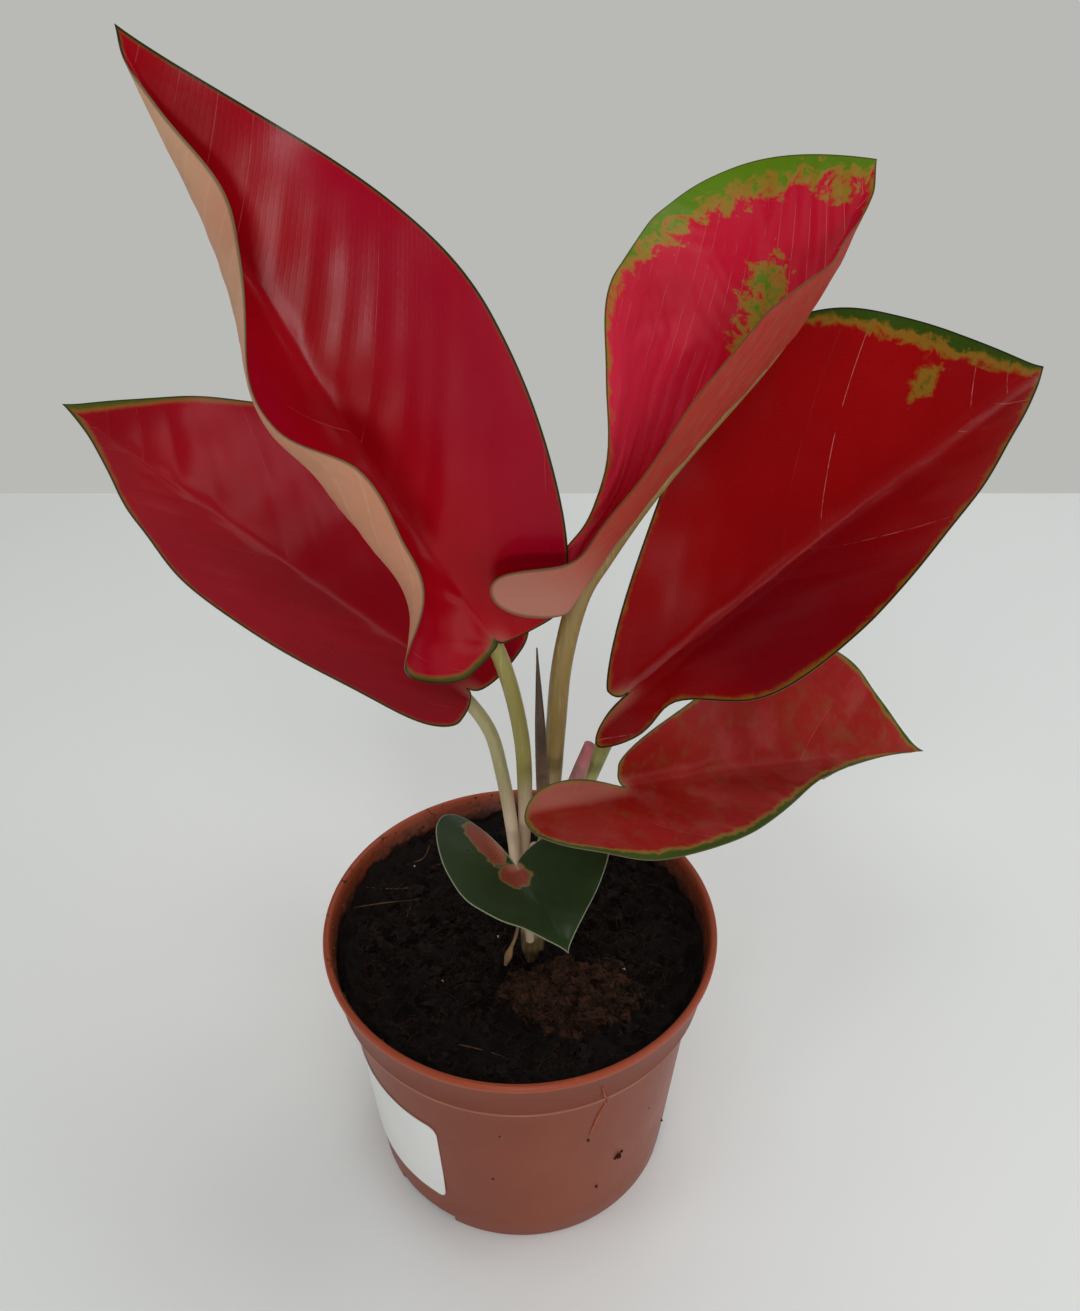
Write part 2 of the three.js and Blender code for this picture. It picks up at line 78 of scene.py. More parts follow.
class Recipe:
    # a node tree, for a material or for Geometry Nodes
    def __init__(self, tree):
        self.tree = tree

    def node(self, kind, settings=None, inputs=None, output=0):
        made = self.tree.nodes.new(kind)
        for name, value in (settings or {}).items():
            setattr(made, name, value)
        for name, value in (inputs or {}).items():
            if isinstance(value, Signal):
                self.tree.links.new(value.socket, made.inputs[name])
            else:
                made.inputs[name].default_value = value
        return Signal(self, made.outputs[output]) if made.outputs else None

    def maths(self, operation, *values):
        return self.node("ShaderNodeMath", {"operation": operation}, dict(enumerate(values)))

    def attribute(self, name):
        return self.node("ShaderNodeAttribute", {"attribute_name": name}, output="Fac")

    def place(self, scale=(1, 1, 1)):
        coordinates = self.node("ShaderNodeTexCoord", output="Object")
        return self.node("ShaderNodeMapping", {}, {"Vector": coordinates, "Scale": scale})

    def axis(self, vector, name):
        return self.node("ShaderNodeSeparateXYZ", {}, {"Vector": vector}, output=name)

    def grain(self, vector, scale, detail=3, roughness=0.5, distortion=0.0):
        return self.node("ShaderNodeTexNoise", {}, {
            "Vector": vector, "Scale": scale, "Detail": detail, "Roughness": roughness,
            "Distortion": distortion})

    def rise(self, value, low, high):
        # 0 below low, 1 above high
        return self.node("ShaderNodeMapRange", {"interpolation_type": "SMOOTHSTEP"}, {
            "Value": value, "From Min": low, "From Max": high})

    def fall(self, value, low, high):
        # 1 below low, 0 above high
        return 1 - self.rise(value, low, high)

    def band(self, value, low, full, ending, high):
        # 1 between full and ending, 0 below low and above high
        return self.rise(value, low, full) * self.fall(value, ending, high)

    def mix(self, factor, under, over):
        # the colours are signals or a colour picker's sRGB hex
        under, over = [shade(colour) if isinstance(colour, str) else colour for colour in (under, over)]
        return self.node("ShaderNodeMix", {"data_type": "RGBA"}, {0: factor, 6: under, 7: over}, output=2)


def shade(code):
    # sRGB hex as the linear colour that the nodes want
    parts = [int(code[i:i + 2], 16) / 255 for i in (0, 2, 4)]
    return tuple(c / 12.92 if c <= 0.04045 else ((c + 0.055) / 1.055) ** 2.4 for c in parts) + (1.0,)


def newMaterial(name):
    material = bpy.data.materials.new(name)
    material.use_nodes = True
    material.node_tree.nodes.clear()
    return material, Recipe(material.node_tree)


def finishMaterial(recipe, colour, roughness, relief, bump, depth, shine=0.5):
    # relief is the height signal, bump its strength, depth its reach in metres
    normal = recipe.node("ShaderNodeBump", {}, {"Strength": bump, "Distance": depth, "Height": relief})
    surface = recipe.node("ShaderNodeBsdfPrincipled", {}, {
        "Base Color": colour, "Roughness": roughness, "Normal": normal, "Specular IOR Level": shine},
        output="BSDF")
    recipe.node("ShaderNodeOutputMaterial", {}, {"Surface": surface})


# pieces

def addObject(name, data):
    made = bpy.data.objects.new(name, data)
    collection.objects.link(made)
    return made


def meshPiece(name, points, faces, attributes=None):
    mesh = bpy.data.meshes.new(name)
    mesh.from_pydata([tuple(p) for p in points], [], faces)
    mesh.update()
    for key, values in (attributes or {}).items():
        values = np.asarray(values, np.float32)
        mesh.attributes.new(key, "FLOAT", "POINT").data.foreach_set("value", values)
    return addObject(name, mesh)


def gridFaces(rows, columns):
    # the faces of a net of points that are numbered row by row
    grid = np.arange((rows + 1) * (columns + 1)).reshape(rows + 1, columns + 1)
    return np.stack([grid[:-1, :-1], grid[1:, :-1], grid[1:, 1:], grid[:-1, 1:]], axis=-1).reshape(-1, 4)


def sheetFaces(front, count):
    # a sheet's front faces, the same ones on its back, count points further on, and those round its rim
    edges = {(f[i - 1], f[i]) for f in front for i in range(len(f))}
    rim = [[b, a, a + count, b + count] for a, b in edges if (b, a) not in edges]
    return front + [[c + count for c in reversed(f)] for f in front] + rim


def ringPoints(radius, height, sides):
    # a level ring about the pot's axis, from millimetres
    turns = [2 * math.pi * k / sides for k in range(sides)]
    return [(radius * mm * math.cos(a), radius * mm * math.sin(a), height * mm) for a in turns]


def dress(piece, material, crease):
    # smooth faces, crisp where they meet at more than the crease's degrees, and one material
    mesh = piece.data
    mesh.shade_smooth()
    mesh.set_sharp_from_angle(angle=math.radians(crease))
    mesh.materials.clear()
    mesh.materials.append(material)


def faceOutward(piece):
    # doubles merged, then normals recalculated
    build = bmesh.new()
    build.from_mesh(piece.data)
    bmesh.ops.remove_doubles(build, verts=build.verts, dist=1e-7)
    bmesh.ops.recalc_face_normals(build, faces=build.faces)
    build.to_mesh(piece.data)
    build.free()


def settle(piece, slotName, *nodes):
    # puts a finished piece on the plant's one body, in place of the CAD nodes that are named
    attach(piece, "root")
    if nodes:
        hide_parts(*nodes)


def plainMesh(piece):
    # the piece's mesh with its modifiers applied
    graph = bpy.context.evaluated_depsgraph_get()
    return bpy.data.meshes.new_from_object(piece.evaluated_get(graph))


def runTree(source, tree, values):
    # a new plain piece: the source with a Geometry Nodes tree run over it
    modifier = source.modifiers.new(tree.name, "NODES")
    modifier.node_group = tree
    for item in tree.interface.items_tree:
        if item.item_type == "SOCKET" and item.in_out == "INPUT" and item.name in values:
            modifier[item.identifier] = values[item.name]
    mesh = plainMesh(source)
    name = source.name
    bpy.data.objects.remove(source)
    mesh.name = name
    return addObject(name, mesh)


def newTree(name, sockets):
    tree = bpy.data.node_groups.new(name, "GeometryNodeTree")
    tree.interface.new_socket("Geometry", in_out="INPUT", socket_type="NodeSocketGeometry")
    for label, kind in sockets:
        tree.interface.new_socket(label, in_out="INPUT", socket_type="NodeSocket" + kind)
    tree.interface.new_socket("Geometry", in_out="OUTPUT", socket_type="NodeSocketGeometry")
    recipe = Recipe(tree)
    return tree, recipe, recipe.node("NodeGroupInput", output="Geometry")


# camera, light and stage

# focal length and height of the photograph in its own pixels
photo = {"place": (0.006, -0.249, 0.363), "pitch": 34.6, "focal": 1168, "height": 1311, "sensor": 24}

cameraData = bpy.data.cameras.new("photoCamera")
cameraData.sensor_fit = "VERTICAL"
cameraData.sensor_height = photo["sensor"]
cameraData.lens = photo["sensor"] * photo["focal"] / photo["height"]
cameraData.clip_start = 0.01
camera = addObject("photoCamera", cameraData)
camera.location = photo["place"]
camera.rotation_euler = (math.radians(90 - photo["pitch"]), 0, 0)
bpy.context.scene.camera = camera
bpy.context.scene.view_settings.view_transform = "Standard"

room = {"back": 0.473, "reach": 2.2, "deep": 0.02, "floor": ("f3f7f7", "f8fafa"), "wall": "b9bab6",
        "behindPlant": "9c9c98", "behindCamera": "545452"}
warm, cool, plain = (1.0, 0.998, 0.99), (0.99, 0.995, 1.0), (1, 1, 1)
lamps = {
    "ceilingPanel": {
        "place": (-0.12, -0.2, 1.75), "aim": (-0.06, 0.03, 0.2), "size": (0.4, 0.4), "watts": 2.2,
        "colour": (1.0, 0.995, 0.98)},
    "ceilingBack": {
        "place": (0.45, 0.75, 1.6), "aim": (0, 0, 0.15), "size": (0.9, 0.9), "watts": 4.7, "colour": warm},
    "frontHigh": {
        "place": (-0.1, -1.1, 1.5), "aim": (0, 0, 0.15), "size": (0.9, 0.7), "watts": 6, "colour": warm},
    "sideRight": {
        "place": (1.25, 0.1, 1.4), "aim": (0, 0, 0.1), "size": (0.9, 0.9), "watts": 5, "colour": cool},
    "windowRight": {
        "place": (1.45, -0.75, 0.4), "aim": (0, 0, 0.12), "size": (0.8, 0.5), "watts": 3, "colour": cool},
    "windowLeft": {
        "place": (-1.4, -0.43, 0.85), "aim": (0, 0, 0.22), "size": (0.6, 0.6), "watts": 2.2, "colour": cool},
    # low and small, for the gleam on the tall leaf
    "catchLight": {
        "place": (0.05, -1.5, 0.4), "aim": (-0.05, 0, 0.29), "size": (0.24, 0.2), "watts": 4.2,
        "colour": plain},
}


def makeFloor():
    material, recipe = newMaterial("paleFloor")
    vector = recipe.place()
    tint = recipe.mix(recipe.grain(vector, 5, 2), *room["floor"])
    finishMaterial(recipe, tint, 0.6, recipe.grain(vector, 900, 2), bump=0.05, depth=0.0005)
    reach, back = room["reach"], room["back"]
    corners = [(-reach, -reach), (reach, -reach), (reach, back), (-reach, back)]
    points = [(x, y, z) for z in (0, -room["deep"]) for x, y in corners]
    faces = [(0, 1, 2, 3), (4, 7, 6, 5), (0, 4, 5, 1), (1, 5, 6, 2), (2, 6, 7, 3), (3, 7, 4, 0)]
    floor = meshPiece("tableTop", points, faces)
    floor.data.materials.append(material)


def makeWorld():
    # the pale wall below the horizon; above it bright behind the plant and dim behind the camera
    world = bpy.data.worlds.new("paleRoom")
    bpy.context.scene.world = world
    world.use_nodes = True
    world.node_tree.nodes.clear()
    sky = Recipe(world.node_tree)
    aim = sky.node("ShaderNodeTexCoord", output="Generated")
    ahead, height = sky.axis(aim, "Y"), sky.axis(aim, "Z")
    above = sky.mix(sky.rise(ahead, -0.35, 0.45), room["behindCamera"], room["behindPlant"])
    tone = sky.mix(sky.rise(height, 0.0, 0.3), room["wall"], above)
    light = sky.node("ShaderNodeBackground", {}, {"Color": tone, "Strength": 1.0})
    sky.node("ShaderNodeOutputWorld", {}, {"Surface": light})


def addLamp(name, place, aim, size, watts, colour):
    data = bpy.data.lights.new(name, "AREA")
    data.shape = "RECTANGLE"
    data.size, data.size_y = size
    data.energy = watts
    data.color = colour
    lamp = addObject(name, data)
    lamp.location = place
    lamp.rotation_euler = (Vector(aim) - Vector(place)).to_track_quat("-Z", "Y").to_euler()


makeFloor()
makeWorld()
for lampName, settings in lamps.items():
    addLamp(lampName, **settings)
report("camera, floor and lights")


# leaves

# base and petiole in millimetres; heading, rise and roll in degrees from the blade's base to its tip. Each
# pair is for the left and the right half: half width, lobe behind the base, where the blade is widest, how
# blunt and how full the tip is, the lobe's shoulder and how far it tucks in, the waist in front of it, then
# the fold beside the midrib and the curl across, from the rear of the lobe to the tip
leafShape = {
    "tall": {
        "base": (-5, 0, 195.5), "length": 159, "heading": (170, 166, 162), "rise": (56, 61, 65),
        "roll": (-57, -57, -57), "half": (42, 43), "lobe": (2, 3), "widest": (0.4, 0.46),
        "point": (0.12, 0.12), "fullness": (0.12, 0.25), "shoulder": (0.5, 0.62), "tuck": (0, 0),
        "fold": ((10, 22, 36, 28, 22, 30, 50, 55, 60, 80, 120), (15, 17, 14, 10, 5, 0)),
        "curl": ((0, 40, 90, 115, 125, 85, 60, 120, 230, 270, 260),
                 (10, 10, 10, 10, 10, 10, 10, 10, 10, 40, 160)),
        "petiole": ((0.9, 3.5, 112), (1.6, 3.4, 130), (1, 3.6, 160), (-3.2, 3.4, 184)), "radius": 2.2,
    },
    "left": {
        "base": (-14, 10, 173), "length": 143, "heading": (158, 154, 150), "rise": (27, 25, 21),
        "roll": (-8, -8, -8), "half": (34, 46), "lobe": (4, 6), "widest": (0.42, 0.45),
        "point": (0.18, 0.14), "fullness": (0.12, 0.45), "shoulder": (0.8, 0.8), "tuck": (0, 0),
        "fold": ((20, 20, 20, 20, 20, 20), (20, 20, 20, 20, 20, 20)),
        "curl": ((0, 0, 0, 0, 0, 0), (0, 0, 0, 0, 0, 0)),
        "petiole": ((-1, -0.6, 108), (-1.6, 0.6, 124), (-4.6, 4, 147), (-8.6, 7.4, 162)), "radius": 1.95,
    },
    "upper": {
        "base": (13.4, 4.4, 204.4), "length": 141, "heading": (35, 40, 45), "rise": (50, 30, 63),
        "roll": (20, 20, 20), "half": (44, 34), "lobe": (1, 9), "widest": (0.47, 0.5),
        "point": (0.05, 0.12), "fullness": (1.4, 0.12), "shoulder": (0.0, 1.1), "tuck": (0, -6),
        "waist": (0.35, 0.5), "fold": ((50, 78, 92, 74, 52, 36, 24, 14, 6, 0, 0), (126, 74, 78, 80, 80, 80)),
        "curl": ((0, 0, 0, 0, 0, 0), (0, 10, 10, 10, 10, 10)),
        "petiole": ((5.2, 4.6, 112), (8.4, 4.8, 130), (10.2, 5.6, 160), (12.2, 7, 186)), "radius": 2.8,
    },
    "right": {
        "base": (30, 8, 173), "length": 154, "heading": (29, 29, 29), "rise": (28, 26, 24),
        "roll": (25, 25, 25), "half": (54, 35), "lobe": (4, 16), "widest": (0.62, 0.38),
        "point": (0.1, 0.1), "fullness": (0.4, 0.3), "shoulder": (0.15, 0.4), "tuck": (0, 0),
        "waist": (0, 0.45), "fold": ((45, 40, 28, 28, 28, 28), (20, 28, 33, 35, 35, 35)),
        "curl": ((0, 0, 0, 0, 0, 0), (60, -10, -10, 0, 0, 0)),
        "petiole": ((8.9, 2, 110), (13.4, 3.4, 128), (20.4, 5.4, 147), (26, 7.6, 161)), "radius": 2.4,
    },
    "low": {
        "base": (29.4, -5, 150.6), "length": 110, "heading": (24, 24, 24), "rise": (-8, -12, -16),
        "roll": (25, 25, 25), "half": (34, 31), "lobe": (2, 34), "widest": (0.68, 0.03),
        "point": (0.08, 0.55), "fullness": (0.12, 0.02), "shoulder": (0.4, 0.9), "tuck": (0, 10),
        "fold": ((60, 50, 25, 25, 25, 25), (42, 30, 30, 32, 30, 25)),
        "curl": ((0, 0, 0, 0, 0, 0), (0, 0, 0, 0, 0, 0)),
        "petiole": ((9.3, -2.4, 104), (12.6, -3.4, 120), (19.6, -4.6, 136), (25.6, -5, 144)), "radius": 1.9,
    },
    "small": {
        "base": (0, -18, 132), "length": 29, "heading": (-62, -62, -62), "rise": (-5, -10, -15),
        "roll": (0, 0, 0), "half": (25, 23), "lobe": (5, 24), "widest": (0.2, 0.2),
        "point": (0.2, 0.3), "fullness": (0.12, 0.12), "shoulder": (0.8, 0.8), "tuck": (0, 0),
        "fold": ((20, 20, 20, 20, 20, 20), (25, 25, 25, 25, 25, 25)),
        "curl": ((0, 0, 0, 0, 0, 0), (0, 0, 0, 0, 0, 0)),
        "petiole": ((3, -7.3, 92), (2.4, -8.6, 104), (1.4, -11.6, 118), (0.6, -15, 127)), "radius": 1.3,
    },
}
# lobeTurn and widestTurn: where the outline passes the rear of the lobe and the widest place, from 0 to 1;
# groove: how far from the midrib the fold is spread; thick: the blade's thickness in millimetres, which
# falls to edgeThick over the outermost edge
bladeBuild = {"rows": 150, "columns": 22, "groove": 4, "lobeTurn": 0.14, "widestTurn": 0.46,
              "thick": 0.5, "edgeThick": 0.26, "edge": 4}


def station(values, x):
    # a smooth curve through evenly spaced values
    values = np.asarray(values, float)
    last = len(values) - 1
    place = np.clip(x, 0, 1) * last
    i = np.minimum(place.astype(int), last - 1)
    f = place - i
    a, b, c, d = values[np.maximum(i - 1, 0)], values[i], values[i + 1], values[np.minimum(i + 2, last)]
    return b + 0.5 * f * (c - a + f * (2 * a - 5 * b + 4 * c - d + f * (3 * (b - c) + d - a)))


def bezier(points, t):
    # a cubic curve through the first and last of four points
    a, b, c, d = [np.array(p, float) for p in points]
    t = np.clip(t, 0, 1)[:, None]
    u = 1 - t
    return u ** 3 * a + 3 * u * u * t * b + 3 * u * t * t * c + t ** 3 * d


def leafOutline(leaf, side, t):
    # edge of one half of the flat blade: along the midrib and out from it, t from base to tip
    length, width, rear = leaf["length"], leaf["half"][side], -leaf["lobe"][side]
    widest, shoulder = leaf["widest"][side] * length, leaf["shoulder"][side] * width
    tuck, lobeTurn, widestTurn = leaf["tuck"][side], bladeBuild["lobeTurn"], bladeBuild["widestTurn"]
    corner = (rear, 0.52 * shoulder)
    lobe = bezier([(0, 0), (0.6 * rear, -tuck), (rear, 0.2 * shoulder - tuck), corner], t / lobeTurn)
    flank = bezier([corner, (rear, shoulder), (widest - 0.5 * (widest - rear), width), (widest, width)],
                   (t - lobeTurn) / (widestTurn - lobeTurn))
    nearTip = (length - leaf["point"][side] * length, leaf["fullness"][side] * width)
    front = bezier([(widest, width), (widest + 0.38 * (length - widest), width), nearTip, (length, 0)],
                   (t - widestTurn) / (1 - widestTurn))
    edge = np.where(t[:, None] < lobeTurn, lobe, flank)
    edge = np.where(t[:, None] < widestTurn, edge, front)
    share = (edge[:, 0] - rear) / (length - rear)
    waist = leaf.get("waist", (0, 0))[side]
    edge[:, 1] *= 1 - waist * np.exp(-(((share - 0.13) / 0.06) ** 2))
    return edge


def veinFoot(leaf, t):
    # where on the midrib the vein to edge place t starts
    return leaf["length"] * np.clip((t - 0.1) / 0.9, 0, 1) ** 1.15


def heading(leaf, x):
    # the midrib's direction, x from 0 at the blade's base to 1 at its tip
    turn, rise = np.radians(station(leaf["heading"], x)), np.radians(station(leaf["rise"], x))
    return np.column_stack([np.cos(rise) * np.cos(turn), np.cos(rise) * np.sin(turn), np.sin(rise)])


def midrib(leaf, s):
    # points on the midrib with the leaf's left and upper-face directions there
    length = leaf["length"]
    fine = np.linspace(0, length, 801)
    steps = heading(leaf, (fine[1:] + fine[:-1]) / (2 * length)) * (fine[1] - fine[0])
    line = np.vstack([[leaf["base"]], np.array(leaf["base"]) + np.cumsum(steps, axis=0)])
    forward = heading(leaf, s / length)
    point = np.column_stack([np.interp(s, fine, line[:, k]) for k in range(3)])
    point = point + forward * np.minimum(s, 0)[:, None]
    turn = np.radians(station(leaf["heading"], s / length))
    roll = np.radians(station(leaf["roll"], s / length))[:, None]
    level = np.column_stack([-np.sin(turn), np.cos(turn), np.zeros_like(turn)])
    above = np.cross(forward, level)
    return point, level * np.cos(roll) + above * np.sin(roll), above * np.cos(roll) - level * np.sin(roll)


def crossSection(fold, bend, w):
    # sideways and upward offset at distance w: the fold builds up beside the midrib, the curl all the way
    groove = bladeBuild["groove"]
    tight = fold / groove + bend
    inner = np.clip(w, -groove, groove)

    def arc(rate, start, reach):
        rate = np.where(np.abs(rate) < 1e-7, 1e-7, rate)
        end = start + rate * reach
        return (np.sin(end) - np.sin(start)) / rate, (np.cos(start) - np.cos(end)) / rate

    first = arc(tight, 0 * w, inner)
    second = arc(bend, tight * inner, w - inner)
    return first[0] + second[0], first[1] + second[1]


def bladePoint(leaf, side, s, w):
    # the middle surface in space, for flat place s along the midrib and w out from it
    point, left, face = midrib(leaf, s)
    rear = leaf["lobe"][side]
    x = (s + rear) / (leaf["length"] + rear)
    fold = np.radians(station(leaf["fold"][side], x))
    bend = np.radians(station(leaf["curl"][side], x)) / leaf["half"][side]
    across, up = crossSection(fold, bend, w)
    return point + left * (across if side == 0 else -across)[:, None] + face * up[:, None]


def edgeDistance(leaf, side, s, w):
    # how far a flat place is from the half's edge, in mm
    edge = leafOutline(leaf, side, np.linspace(0, 1, 400))
    start, along = edge[:-1], np.diff(edge, axis=0)
    size = np.maximum((along ** 2).sum(1), 1e-9)
    flat = np.column_stack([s, w])[:, None, :] - start[None]
    part = np.clip((flat * along).sum(2) / size, 0, 1)[..., None]
    return np.sqrt(((flat - part * along) ** 2).sum(2).min(1))


def spotField(spots, s, across):
    # how deep a flat place lies inside the nearest of some oval spots, in mm
    field = np.full_like(s, -50.0)
    for centre, radii, turn in spots:
        c, q = math.cos(math.radians(turn)), math.sin(math.radians(turn))
        u, v = s - centre[0], across - centre[1]
        reach = np.sqrt(((u * c + v * q) / radii[0]) ** 2 + ((v * c - u * q) / radii[1]) ** 2)
        field = np.maximum(field, (1 - reach) * min(radii))
    return field


# spacing of the side veins in mm and how far they sweep to the tip; quilt: how high each half bulges between
# them; wave: the edge's ripple in mm; calmTip and calmEdge: the share of the blade near tip and edge where
# the bulges die out; groove: depth of the groove over the midrib; lineShare and lines: how many pale vein
# lines there are and how strong; green: width of the green edge in mm from the rear of each half to its tip;
# ragged and fade: how far its mottling strays and how soft it is; face, glow and deep: the reds; blush,
# rearLight, rightShade and olive: how much shows of the glow away from the midrib, of the light painted on
# the rear, of the shade painted on the right half and of the brownish haze, which brings a pale rosy painted
# sheen with it; border: colour and width in mm of the thin rim; under: the two tints below
commonLook = {
    "calmEdge": 0.5, "lineShare": 0.5, "blush": 0.5, "rearLight": 0.0, "rightShade": 0.0, "olive": 0.0,
    "under": ("c79e80", "c08468"), "underLobe": "c8a084",
}
leafLook = {
    "tall": commonLook | {
        "spacing": 13, "sweep": 1.0, "quilt": (0.5, 0.35), "wave": 0.4, "calmTip": 0.65, "calmEdge": 0.55,
        "shine": 0.1, "rough": 0.24, "groove": 0.1, "lines": 0.18, "ragged": 0.6, "fade": 0.8,
        "green": ((1.8, 1.8, 0.3, 0.3, 0.3, 0.3), (0.3, 0.3, 0.3, 0.3, 0.3, 0.3)),
        "face": "a60616", "glow": "a2042b", "deep": "940310", "blush": 0.6,
        "leafGreen": ("3a3a12", "4a4a18"), "yellow": "6a5a20", "border": ("2c2a12", 0.55),
    },
    "left": commonLook | {
        "spacing": 13, "sweep": 1.0, "quilt": (0.3, 0.3), "wave": 0.4, "calmTip": 0.2,
        "shine": 0.09, "rough": 0.25, "groove": 0.12, "lines": 0.12, "ragged": 1.5, "fade": 1.2,
        "green": ((0.3, 0.3, 0.3, 0.4, 0.8, 2.0), (0.3, 0.3, 0.4, 0.8, 1.6, 3.0)),
        "face": "990a19", "glow": "9e0c24", "deep": "890615",
        "leafGreen": ("3c4a16", "50601e"), "yellow": "8a5a28", "border": ("2f3014", 0.5),
    },
    "upper": commonLook | {
        "spacing": 11, "sweep": 2.0, "quilt": (0.75, 0.25), "wave": 0.4, "calmTip": 0.12, "calmEdge": 0.2,
        "shine": 0.08, "rough": 0.34, "groove": 0.08, "lineShare": 0.8, "lines": 0.55, "ragged": 11,
        "fade": 2.3,
        "green": ((0.3, 0.3, 0.6, 4.0, 8.5, 4.5), (0.4, 0.4, 0.4, 0.4, 0.4, 0.4)),
        "face": "c5122f", "glow": "c91539", "deep": "b10921", "blush": 0.4, "rearLight": 0.8,
        "leafGreen": ("466e0c", "668c14"), "yellow": "8c8426", "border": ("4a4a20", 0.35),
        "under": ("b43c34", "a8382c"), "underLobe": "b07464",
    },
    "right": commonLook | {
        "spacing": 14, "sweep": 0.8, "quilt": (0.12, 0.25), "wave": 0.3, "calmTip": 0.3,
        "shine": 0.13, "rough": 0.27, "groove": 0.0, "lines": 0.6, "ragged": 4.0, "fade": 1.7,
        "green": ((0.3, 0.3, 0.3, 3.5, 5.0, 2.6), (0.3, 0.3, 0.3, 0.4, 0.5, 0.6)),
        "face": "940305", "glow": "940308", "deep": "860309", "blush": 0.3, "rightShade": 0.6,
        "leafGreen": ("203a08", "2e4a0c"), "yellow": "80661c", "border": ("1e200c", 0.5),
    },
    "low": commonLook | {
        "spacing": 12, "sweep": 0.8, "quilt": (0.25, 0.3), "wave": 0.3, "calmTip": 0.2,
        "shine": 0.1, "rough": 0.38, "groove": 0.06, "lines": 0.2, "ragged": 3.0, "fade": 0.95,
        "green": ((0.4, 0.4, 0.6, 1.2, 1.6, 1.4), (0.3, 1.6, 3.0, 2.2, 1.2, 0.9)),
        "face": "972016", "glow": "9d171d", "deep": "8b1310", "olive": 0.36,
        "leafGreen": ("2c4412", "3c5a1c"), "yellow": "867030", "border": ("4c5434", 0.35),
        "under": ("b89a74", "b88a70"), "underLobe": "b8907c",
    },
    "small": commonLook | {
        "spacing": 8, "sweep": 0.9, "quilt": (0.14, 0.14), "wave": 0.2, "calmTip": 0.12,
        "shine": 0.25, "rough": 0.3, "groove": 0.12, "lineShare": 0.0, "lines": 0.0, "ragged": 2.4,
        "fade": 0.45,
        "green": ((60,) * 6, (60,) * 6),
        "face": "92402e", "glow": "9c4a38", "deep": "7c3226", "blush": 0.3, "olive": 0.2,
        "leafGreen": ("172c17", "233a1c"), "yellow": "706a38", "border": ("8a947a", 0.22),
        "under": ("6f7c56", "7c8460"), "underLobe": "7c8460",
    },
}
# tints that the leaves share
bladeTints = {"vein": "e0a49c", "foot": "d9a08c", "rearLight": "e43a56", "pleatHighlight": "de5a76", "rightShade": "5c0312",
              "haze": "6c5026", "rosySheen": "c8686a", "underHaze": "8c7a54", "underRim": "4c4a26"}
# oval patches: centre along and across the leaf, its two radii, and how it is turned
greenSpots = {"upper": [((92, 9), (8, 3), 20), ((84, 5), (4, 2.5), 0)],
              "right": [((121, 17), (2.2, 1.2), 20)]}
redSpots = {"small": [((-12, -4.6), (9.5, 4.8), 0), ((2, -2), (4, 4.8), 0)]}


def bladeNet(name, leaf, look):
    # the middle surface: points, faces and what the material wants to know at each point
    rows, columns = bladeBuild["rows"], bladeBuild["columns"]
    t, v = [g.ravel() for g in np.meshgrid(
        np.linspace(0, 1, rows + 1), np.linspace(0, 1, columns + 1) ** 1.2, indexing="ij")]
    points, facts, faces = [], [], []
    for side in (0, 1):
        edge, foot = leafOutline(leaf, side, t), veinFoot(leaf, t)
        s, w = foot + (edge[:, 0] - foot) * v, edge[:, 1] * v
        across = w if side == 0 else -w
        margin = edgeDistance(leaf, side, s, w)
        vein = (s - look["sweep"] * np.abs(w) * (1 + np.abs(w) / 80)) / look["spacing"] + 0.37 * side + 20

        # bulges between the side veins, each its own strength
        share = np.sin(np.floor(vein) * 12.9898 + 4 * side + leaf["length"]) * 43.7585
        ridge = np.abs(np.sin(math.pi * vein)) ** 0.8 * (0.3 + 0.9 * (share - np.floor(share)))
        body = np.clip(v / 0.1, 0, 1) * np.clip((1 - v) / look["calmEdge"], 0, 1)
        body = body * np.clip((1 - t) / look["calmTip"], 0, 1)
        height = look["quilt"][side] * ridge * body * np.clip(t / 0.15, 0.2, 1)
        swell = np.sin(0.21 * s + 0.13 * across + 1.3) * np.sin(0.17 * across - 0.09 * s + 0.7)
        height += 0.24 * body * swell
        ripple = np.sin(23 * t + 2 * side) + 0.6 * np.sin(41 * t + 1)
        height += look["wave"] * v ** 3 * ripple * np.clip((1 - t) / 0.2, 0, 1)
        crease = np.exp(-(w ** 2)) * np.clip(s / 6, 0, 1) * np.clip((leaf["length"] - s) / 30, 0, 1)
        height -= look["groove"] * crease

        zone = station(look["green"][side], t)
        green = np.maximum(zone - margin, spotField(greenSpots.get(name, []), s, across))
        green = np.minimum(green, -spotField(redSpots.get(name, []), s, across))
        ragged = np.clip(np.maximum(zone, np.where(green > -margin, 2, 0)) / 4, 0.06, 1.2)
        points.append(bladePoint(leaf, side, s, w))
        half = np.full_like(s, side)
        facts.append(np.column_stack([margin, w, vein, s / leaf["length"], green, ragged, half, height]))
        quads = gridFaces(rows, columns) + side * len(t)
        faces.append(quads if side == 0 else quads[:, ::-1])
    points, facts, faces = np.vstack(points), np.vstack(facts), np.vstack(faces)

    # the halves share their points along the midrib, and the quads there and at the tip lose their doubles
    _, keep, index = np.unique(np.round(points, 4), axis=0, return_index=True, return_inverse=True)
    index = index.ravel()
    polygons = []
    for quad in index[faces].tolist():
        corners = [c for i, c in enumerate(quad) if c != quad[i - 1]]
        if len(corners) > 2:
            polygons.append(corners)
    return points[keep], facts[keep], polygons


def pointNormals(points, polygons):
    a, b, c = [points[corner] for corner in np.array([p[:3] for p in polygons]).T]
    turn = np.cross(b - a, c - a)
    normals = np.zeros_like(points)
    for k in range(3):
        np.add.at(normals, [p[k] for p in polygons], turn)
    return normals / np.maximum(np.linalg.norm(normals, axis=1), 1e-9)[:, None]


